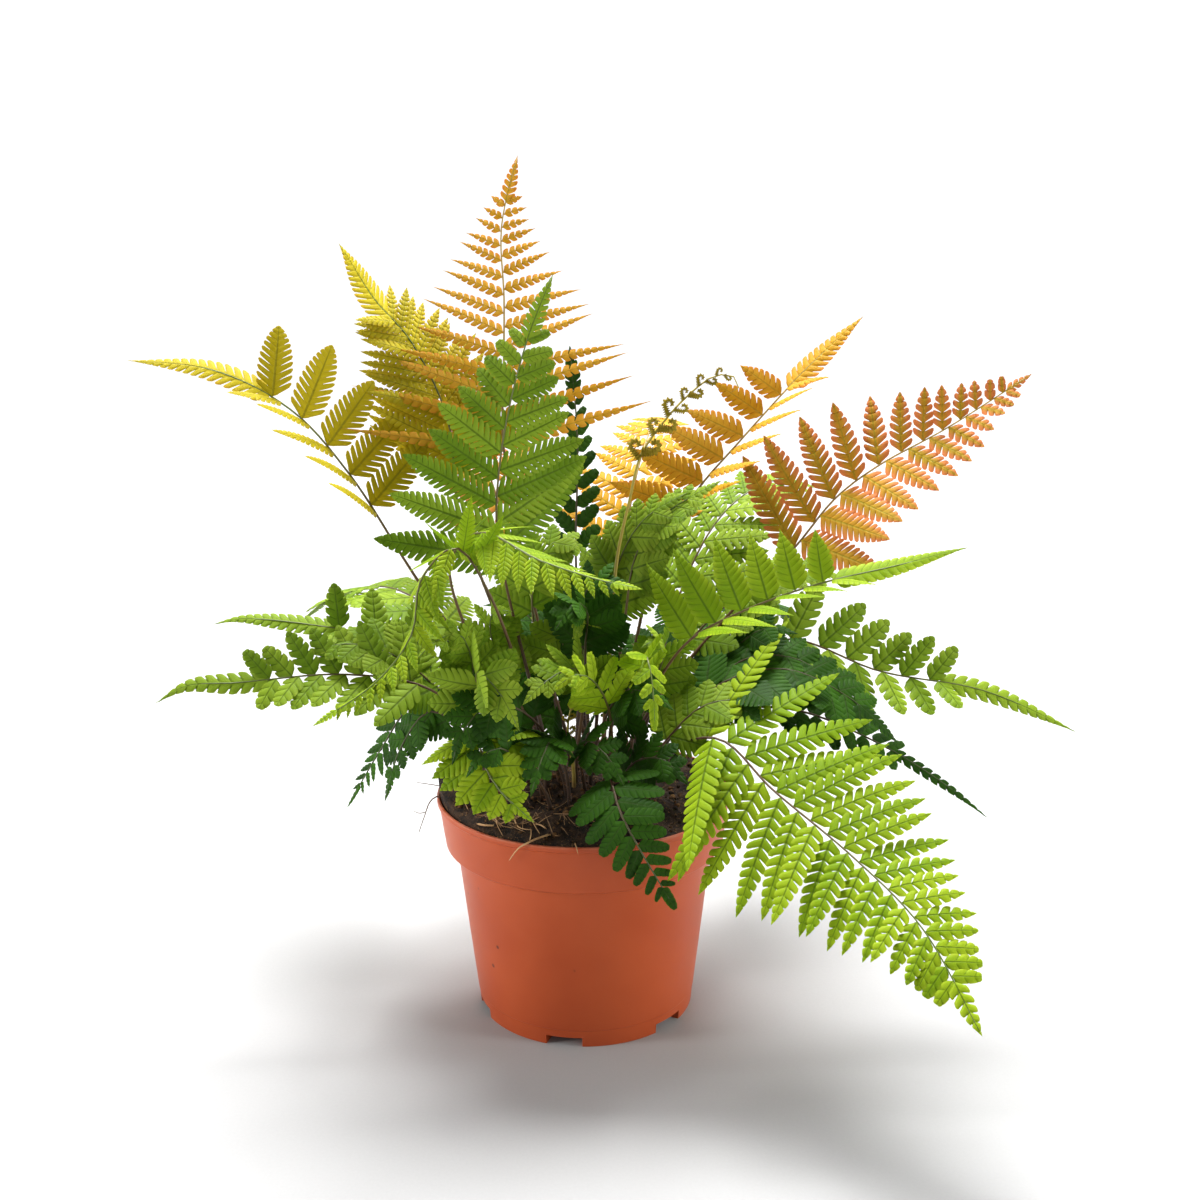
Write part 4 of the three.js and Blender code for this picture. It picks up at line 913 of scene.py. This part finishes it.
# Deep green fronds
# Old fronds low in the clump, dark and leathery, mostly in the shade of the others.
dark_stalk = stalk_material("dark_stalk", rgb(40, 26, 16), rgb(70, 48, 24), rgb(60, 80, 24))
deep_green_leaf = leaf_material(
    "deep_green_leaf", rib=rgb(52, 76, 22), blade=rgb(36, 72, 8), pale=rgb(60, 106, 20),
    tip=rgb(78, 124, 28), under=rgb(80, 110, 52), glow=rgb(58, 108, 4), slit_shading=rgb(22, 44, 6),
    tip_start=0.75,
)
deep_green_fronds = [
    dict(name="frond_over_front_rim", blade=0.35, pairs=9, reach=21, face=(-0.1, -0.8, 0.6),
         way=[(6, -28, 88), (7, -32, 104), (10, -46, 114), (14, -62, 106), (22, -68, 92), (34, -72, 72)],
         swing=66, spacing=1.25, fill=0.72, tip_fill=0.6, slender=0.2, point=0.7, blunt=0.5, whole=30,
         tail=0.14, tail_width=0.2, lobe_pitch=2.6, notch=0.5),
    dict(small_frond, name="frond_hanging_left", blade=0.42, pairs=11, reach=20, face=(-0.7, -0.5, 0.5),
         way=[(-34, 12, 88), (-37, 12, 107), (-55, 14, 126), (-70, 12, 124), (-84, 10, 105), (-98, 4, 82)],
         swing=60, fill=0.52, tip_fill=0.45, slender=0.17, point=0.9, whole=30, tail=0.15, tail_width=0.12),
    dict(small_frond, name="frond_centre_dark", blade=0.45, pairs=6, reach=22, face=(-0.1, -0.8, 0.6),
         way=[(-6, -20, 88), (-8, -23, 106), (-20, -34, 134), (-34, -44, 142), (-44, -52, 134),
              (-48, -56, 122)]),
    dict(small_frond, name="frond_right_dark", blade=0.36, pairs=9, reach=32, face=(-0.1, -0.3, 0.95),
         way=[(27, -8, 88), (30, -9, 108), (52, -12, 138), (78, -14, 146), (104, -22, 136),
              (122, -30, 120)],
         swing=66),
    dict(small_frond, name="frond_low_front", blade=0.42, pairs=6, reach=17, face=(0, -0.6, 0.8),
         way=[(-5, -27, 88), (-6, -29, 106), (-9, -34, 122), (-11, -42, 128), (-15, -54, 124),
              (-19, -62, 112)]),
    dict(small_frond, name="frond_low_left", blade=0.42, pairs=6, reach=17, face=(-0.6, -0.6, 0.5),
         way=[(-35, 1, 88), (-37, 1, 107), (-51, -3, 121), (-62, 0, 125), (-74, -2, 110), (-81, -6, 88)],
         swing=60),
    dict(small_frond, name="frond_inner_dark", blade=0.58, pairs=6, reach=20, face=(0, -0.7, 0.7),
         way=[(2, 0, 88), (2, -1, 110), (1, -6, 152), (2, -14, 170), (-3, -22, 175), (-11, -30, 165)]),
    dict(small_frond, name="frond_low_right_dark", blade=0.45, pairs=7, reach=24, face=(-0.1, -0.5, 0.85),
         way=[(24, -3, 88), (27, -3, 107), (47, -3, 132), (66, -5, 148), (86, -10, 148), (104, -18, 134)],
         swing=64),
    dict(name="frond_behind_right", blade=0.4, pairs=8, reach=15, face=(-0.1, -0.4, 0.9),
         way=[(31, 0, 88), (35, 0, 106), (60, 0, 124), (84, -4, 126), (114, -12, 116), (140, -22, 102),
              (158, -30, 89)],
         swing=64, spacing=1.2, fill=0.55, point=1.1, tail=0.45, tail_width=0.07, lobe_pitch=4.2,
         notch=0.4),
    dict(name="frond_back_right_deep", blade=0.38, pairs=9, reach=36, face=(-0.2, -0.3, 0.93),
         way=[(22, 34, 88), (25, 37, 108), (46, 66, 140), (66, 92, 148), (88, 120, 138), (106, 142, 118)],
         swing=66, fill=0.75, tail=0.2, lobe_pitch=4.4, notch=0.35),
    dict(name="frond_back_dark", blade=0.5, pairs=10, reach=14, face=(0, -0.9, 0.4),
         way=[(0, 26, 88), (0, 28, 112), (-3, 40, 178), (-2, 52, 227), (-5, 62, 266)],
         swing=50, tail=0.2, lobe_pitch=3.4, notch=0.3),
    dict(small_frond, name="frond_middle_low", blade=0.45, pairs=5, reach=22, face=(0, -0.7, 0.7),
         way=[(3, -9, 88), (3, -11, 106), (10, -17, 130), (16, -29, 142), (26, -38, 144), (35, -42, 138)]),
    dict(small_frond, name="frond_low_middle", blade=0.4, pairs=5, reach=18, face=(-0.1, -0.7, 0.7),
         way=[(1, -17, 88), (0, -20, 104), (-2, -30, 120), (2, -40, 126), (10, -48, 122), (16, -54, 112)]),
    dict(small_frond, name="frond_inner_low_right", blade=0.35, pairs=5, reach=18, face=(-0.1, -0.7, 0.7),
         way=[(13, -25, 88), (14, -28, 103), (20, -36, 116), (30, -44, 120), (40, -52, 112)]),
    dict(small_frond, name="frond_gap_back", blade=0.22, pairs=8, reach=22, face=(0.1, -0.6, 0.8),
         way=[(-8, 26, 88), (-8, 28, 106), (-12, 32, 120), (-18, 38, 146), (-30, 44, 158), (-44, 50, 156)]),
    dict(small_frond, name="frond_gap_back_right", blade=0.22, pairs=8, reach=24, face=(-0.1, -0.6, 0.8),
         way=[(15, 28, 88), (17, 31, 108), (26, 40, 134), (38, 50, 144), (52, 58, 140)]),
    dict(small_frond, name="frond_soil_left", blade=0.4, pairs=5, reach=16, face=(-0.1, -0.8, 0.6),
         way=[(-12, -30, 88), (-14, -34, 102), (-23, -44, 119), (-30, -50, 127), (-37, -56, 126),
              (-43, -58, 118)]),
    dict(small_frond, name="frond_right_inner", blade=0.42, pairs=6, reach=26, face=(-0.2, -0.6, 0.75),
         way=[(31, 11, 88), (34, 12, 106), (52, 12, 129), (61, 6, 148), (72, -2, 159), (85, -10, 159)]),
    dict(small_frond, name="frond_centre_back", blade=0.5, pairs=6, reach=22, face=(0, -0.7, 0.7),
         way=[(-3, 4, 88), (-3, 3, 108), (0, 2, 154), (0, -2, 171), (7, -8, 181), (22, -12, 178)]),
]
set_fronds(deep_green_fronds, dark_stalk, deep_green_leaf)


# Olive fronds
# Fronds between green and gold: golden olive, a little orange at the ends of the lobes.
olive_leaf = leaf_material(
    "olive_leaf", rib=rgb(124, 124, 30), blade=rgb(180, 166, 20), pale=rgb(204, 188, 34),
    tip=rgb(212, 164, 40), under=rgb(184, 170, 74), glow=rgb(216, 196, 8), slit_shading=rgb(206, 194, 84),
    tip_start=0.75,
)
olive_fronds = [
    dict(name="frond_upper_left_olive", blade=0.55, pairs=15, reach=42, face=(0, -0.4, 0.9),
         way=[(-18, 22, 88), (-20, 23, 112), (-50, 28, 200), (-54, 30, 239), (-69, 38, 270),
              (-83, 40, 286), (-97, 42, 309)],
         swing=60, taper=0.95, fill=0.9, tip_fill=0.75, point=1, whole=12, tail=0.34, tail_width=0.2,
         lobe_pitch=2.6, notch=0.4),
    dict(name="frond_far_left_gold", blade=0.5, pairs=5, reach=36, face=(0.64, -0.62, 0.45),
         way=[(-25, 12, 88), (-28, 13, 110), (-70, 18, 180), (-93, 16, 220), (-113, 12, 245),
              (-140, 6, 261), (-173, 0, 266)],
         swing=78, taper=0.5, spacing=1.1, lift=38, fill=0.5, thin=(-1, 50, 0.4), point=0.8, tail=0.42,
         tail_width=0.1, lobe_pitch=2.8, notch=0.3),
]
set_fronds(olive_fronds, green_stalk, olive_leaf)


# Orange fronds
# Younger fronds, yellow-orange along the ribs and deeper orange at the ends of the lobes.
brown_stalk = stalk_material("brown_stalk", rgb(58, 34, 18), rgb(104, 72, 34), rgb(170, 140, 50))
orange_leaf = leaf_material(
    "orange_leaf", rib=rgb(172, 152, 44), blade=rgb(204, 160, 30), pale=rgb(222, 178, 54),
    tip=rgb(222, 146, 48), under=rgb(206, 158, 84), glow=rgb(236, 170, 14), slit_shading=rgb(150, 84, 20),
    tip_start=0.6,
)
orange_fronds = [
    dict(name="frond_tall_orange", blade=0.52, pairs=14, reach=70, face=(0.08, -0.5, 0.86),
         way=[(-8, 18, 88), (-10, 19, 112), (-31, 24, 225), (-31, 34, 262), (-31, 44, 286),
              (-32, 54, 314), (-25, 60, 343)],
         swing=76, taper=1.35, spacing=1.9, fill=0.34, tip_fill=0.36, point=1.45, blunt=0.9, whole=10,
         tail=0.15, tail_width=0.15, lobe_pitch=3, notch=0.12),
    dict(name="frond_right_orange", blade=0.5, pairs=6, reach=34, face=(-0.44, -0.69, 0.57),
         way=[(14, 20, 88), (16, 22, 112), (31, 30, 181), (47, 34, 208), (64, 38, 227), (79, 42, 243),
              (92, 46, 256), (117, 52, 278)],
         swing=108, taper=0.7, spacing=1.3, lift=36, fill=0.52, tip_fill=0.42, thin=(1, 58, 0.45),
         point=1.2, tail=0.36, tail_width=0.13, lobe_pitch=3, notch=0.5),
    dict(name="frond_back_orange", blade=0.46, pairs=12, reach=38, face=(-0.1, -0.6, 0.8),
         way=[(8, 32, 88), (9, 35, 112), (18, 64, 182), (26, 92, 214), (34, 122, 226), (42, 150, 222)],
         swing=68, spacing=1.7, fill=0.45, point=1.2, lobe_pitch=3.8, notch=0.16),
]
set_fronds(orange_fronds, brown_stalk, orange_leaf)


# Copper fronds
# The youngest full fronds, salmon-copper with olive along the ribs.
copper_leaf = leaf_material(
    "copper_leaf", rib=rgb(154, 150, 40), blade=rgb(178, 152, 34), pale=rgb(196, 152, 46),
    tip=rgb(222, 136, 80), under=rgb(200, 144, 92), glow=rgb(222, 152, 40), slit_shading=rgb(112, 66, 24),
    tip_start=0.38,
)
copper_fronds = [
    dict(name="frond_right_salmon", blade=0.5, pairs=12, reach=46, face=(-0.42, -0.79, 0.45),
         way=[(18, 10, 88), (22, 10, 112), (58, 12, 160), (85, 14, 188), (101, 12, 209), (117, 10, 222),
              (142, 6, 237), (173, 0, 259)],
         swing=72, taper=1, spacing=1.85, lift=24, fill=0.55, tip_fill=0.42, whole=12, lobe_pitch=3.4,
         notch=0.15),
    dict(name="frond_back_left_copper", blade=0.46, pairs=12, reach=40, face=(0.4, -0.5, 0.75),
         way=[(-14, 30, 88), (-15, 33, 112), (-34, 60, 190), (-48, 82, 224), (-66, 106, 240),
              (-84, 130, 240)],
         swing=68, spacing=1.7, fill=0.45, point=1.2, lobe_pitch=3.8, notch=0.14),
]
set_fronds(copper_fronds, brown_stalk, copper_leaf)


# Croziers
# Two young fronds that are still rolled up, golden brown and scaly. Every leaflet is a small
# coil of its own on the rising midrib.
crozier_scale = leaf_material(
    "crozier_scale", rib=rgb(120, 104, 30), blade=rgb(150, 132, 34), pale=rgb(184, 164, 56),
    tip=rgb(144, 102, 38), under=rgb(146, 126, 52), glow=rgb(164, 144, 20), slit_shading=rgb(122, 96, 34),
    tip_start=0.8,
)
crozier_stalk = stalk_material(
    "crozier_stalk", rgb(96, 62, 30), rgb(150, 134, 44), rgb(162, 146, 50),
)
croziers = [
    dict(name="crozier_tall", coils=6, first_coil=0.70, last_coil=0.96, reach=10,
         way=[(7, 8, 88), (8, 8, 110), (11, 8, 150), (14, 8, 186), (19, 6, 210), (23, 4, 227),
              (29, 2, 237), (41, 0, 251), (52, -2, 259), (59, -3, 258), (60, -3, 253),
              (56, -3, 252)]),
    dict(name="crozier_low", coils=3, first_coil=0.5, last_coil=0.8, reach=6,
         way=[(-4, -14, 88), (-4, -15, 106), (-6, -18, 122), (-4, -21, 133), (2, -23, 136),
              (5, -23, 131), (1, -23, 128)]),
]
coil_rings = 48
coil_turn = 1.6 * pi
coil_radius = 0.24
coil_arm = 0.42
coil_arm_length = 0.55
coil_rise = 0.55
coil_tightening = 0.6
coil_thickness = 0.085
coil_width = 1.5
coil_stagger = 0.008
coil_crowding = 0.85
coil_shrinking = 0.75
coil_size_spread = (0.85, 1.1)
bead_depth = 0.5
bead_rate = 75


def coil_part(way, share, side, size, draw):
    """A leaflet still rolled up: an arm that winds into a beaded coil."""
    skin = Skin.of(coil_rings, False)
    s = skin.ring / (coil_rings + 1)
    along, above, right = (axis[0] for axis in way.directions([share]))
    away = unit(right * side + above * draw.normal(0.15, 0.2))
    above = unit(above - away * (above @ away))
    out_way = away * cos(coil_rise) + along * sin(coil_rise)
    on_way = along * cos(coil_rise) - away * sin(coil_rise)
    wound = coil_turn * np.clip((s - coil_arm) / (1 - coil_arm), 0, 1)
    radius = size * coil_radius * (1 - coil_tightening * wound / coil_turn)
    out = size * coil_arm_length * np.minimum(s / coil_arm, 1) + radius * np.sin(wound)
    onward = size * coil_radius - radius * np.cos(wound)
    ahead = on_way * np.cos(wound)[:, None] - out_way * np.sin(wound)[:, None]
    bead = 1 + bead_depth * np.sin(s * bead_rate)
    thick = coil_thickness * size * bead * np.minimum(1, 6 * (1 - s)) * (1.25 - 0.6 * s)
    centre = way.at([share]) + out_way * out[:, None] + on_way * onward[:, None]
    places = centre + thick[:, None] * (
        ahead * skin.across[:, None] * coil_width + above * skin.up[:, None]
    )
    # The seam note is how far round to the side each point lies, so the leaf's painted slit shade falls on
    # the sides of every coil.
    return skin.bent(places, share, bead / 2, np.abs(skin.across), luck=draw.random())


for spec in croziers:
    way = Way(spec["way"], (0, -1, 0.2))
    draw = np.random.default_rng(spec["coils"])
    parts = [stalk_part(way, spec["first_coil"])]
    for k in range(spec["coils"]):
        passed = k / spec["coils"]
        rise = (spec["last_coil"] - spec["first_coil"]) * passed ** coil_crowding
        full_size = spec["reach"] * MM * (1 - coil_shrinking * passed)
        for side in (1, -1):
            share = spec["first_coil"] + rise + coil_stagger * side
            size = full_size * draw.uniform(*coil_size_spread)
            parts.append(coil_part(way, share, side, size, draw))
    name = spec["name"].replace("crozier", "rolled_frond")
    crozier = grow(name, parts, [crozier_stalk, crozier_scale])
    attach(crozier, "root")
    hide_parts(spec["name"])


# Roots and fibres
# Fine tan roots that lie on the soil and hang over the rim at the front and the left, among
# shorter threads of fibre. A root is given its radius, how dark it is, and its route.
roots = [
    (0.42, 0, [(-41, -39, 92.6), (-37, -42, 93.1), (-33, -42, 93.2), (-27, -38, 94.3),
               (-21, -36, 95.3)]),
    (0.45, 0, [(-12, -51, 93.2), (-17.5, -54.6, 92.8), (-20.6, -56.6, 92.1), (-23.6, -56.4, 90.2),
               (-26, -54.8, 86.8), (-28, -53.2, 83.2)]),
    (0.25, 0, [(-19.9, -56, 92.3), (-19.3, -53.5, 94.6), (-19.6, -52, 96.4)]),
    (0.25, 0, [(-21, -36, 95), (-17.8, -46.9, 94.1), (-16, -51, 93)]),
    (0.22, 0, [(-33.5, -31.5, 95.7), (-33, -42, 94.2), (-30, -49, 91.2)]),
    (0.30, 0, [(-26.6, -38.4, 94.2), (-23.9, -45.6, 93.5), (-18.9, -48.3, 93.7)]),
    (0.40, 0, [(-13.6, -48.4, 94), (-16, -46, 94.8), (-18.5, -45, 94.8)]),
    (0.28, 0, [(-3, -56.5, 92.2), (-2.4, -60.3, 91.9), (-1.6, -60.8, 88.6)]),
    (0.25, 1, [(-55, -6, 94.5), (-61, -3, 94.6), (-69, 0, 94.7)]),
    (0.30, 1, [(-57, -8, 92.6), (-61.6, -8, 90), (-65, -8, 82), (-67.5, -8, 75)]),
    (0.22, 1, [(-63.5, -8, 85), (-67, -7, 84), (-70, -6, 85)]),
]
fibre_beds = [(-31, -41, 8, 90), (-49, -14, 7, 40), (-10, -44, 12, 40)]
fibre_half_length = (2, 6)
fibre_radius = (0.1, 0.22)
fibre_darkness = (0.1, 0.8)
fibre_lift = 1.4
fibre_field = 54
thread_step = 1.6 * MM
thread_taper = 0.6
draw = np.random.default_rng(19)


def thread_part(points, radius, darkness):
    """A thin round thread along a route, pointed at its end."""
    way = Way(points, (0.3, -1, 0.35))
    rings = max(int(way.length / thread_step), 3)
    skin = Skin.of(rings, False)
    shares = skin.ring / (rings + 1)
    _, above, right = way.directions(shares)
    thick = (radius * MM * (1 - thread_taper * shares))[:, None]
    places = way.at(shares) + thick * (above * skin.up[:, None] - right * skin.across[:, None])
    return skin.bent(places, shares, under=0, luck=darkness)


threads = [thread_part(points, radius, darkness) for radius, darkness, points in roots]
for across, back, spread, count in fibre_beds:
    for _ in range(count):
        x, y = draw.normal((across, back), spread)
        turn, length = draw.uniform(0, pi), draw.uniform(*fibre_half_length)
        step_x, step_y = length * cos(turn), length * sin(turn)
        if max(hypot(x + step_x, y + step_y), hypot(x - step_x, y - step_y)) > fibre_field:
            continue
        lie = [(x + step * step_x, y + step * step_y) for step in (-1, 0.1, 1)]
        heights = [soil_height(px * MM, py * MM) / MM + draw.uniform(0, fibre_lift) for px, py in lie]
        route = [(*spot, height) for spot, height in zip(lie, heights)]
        threads.append(thread_part(route, draw.uniform(*fibre_radius), draw.uniform(*fibre_darkness)))

root_skin, place = new_material("root_thread")
streak = place.noise(900, 3)
tone = place.note("leaf_luck").blend(rgb(196, 152, 102), rgb(66, 48, 32))
place.skin((streak * 0.5).blend(tone, rgb(140, 104, 64)), 0.5 + 0.2 * streak).finish()
roots_piece = grow("roots_and_fibres", threads, [root_skin])
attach(roots_piece, "root")


# Stalk hairs
# Brown hairs that stand out from every stalk below its leaflets, bent towards its tip.
hairs_per_stalk = 26
hair_length = (1.0 * MM, 2.6 * MM)
hair_radius = 0.11
hair_zone = (0.1, 0.85)
hair_lean = (0.1, 0.9)
hair_darkness = (0.2, 0.9)
hairy_fronds = (mid_green_fronds + fresh_green_fronds + deep_green_fronds + olive_fronds
                + orange_fronds + copper_fronds)

hairs = []
for spec in hairy_fronds:
    way = Way(spec["way"], spec["face"])
    for _ in range(hairs_per_stalk):
        share = draw.uniform(*hair_zone) * spec["blade"]
        along, above, right = (axis[0] for axis in way.directions([share]))
        turn = draw.uniform(0, 2 * pi)
        away = right * cos(turn) + above * sin(turn)
        foot = way.at([share])[0] + away * rib_radius
        half = draw.uniform(*hair_length) / 2
        bend = unit(away + along * draw.uniform(*hair_lean))
        route = [foot / MM, (foot + away * half) / MM, (foot + (away + bend) * half) / MM]
        hairs.append(thread_part(route, hair_radius, draw.uniform(*hair_darkness)))

hair_skin, place = new_material("stalk_hair")
tone = place.note("leaf_luck").blend(rgb(150, 98, 52), rgb(74, 44, 24))
place.skin(tone, 0.6).finish()
hairs_piece = grow("stalk_hairs", hairs, [hair_skin])
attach(hairs_piece, "root")
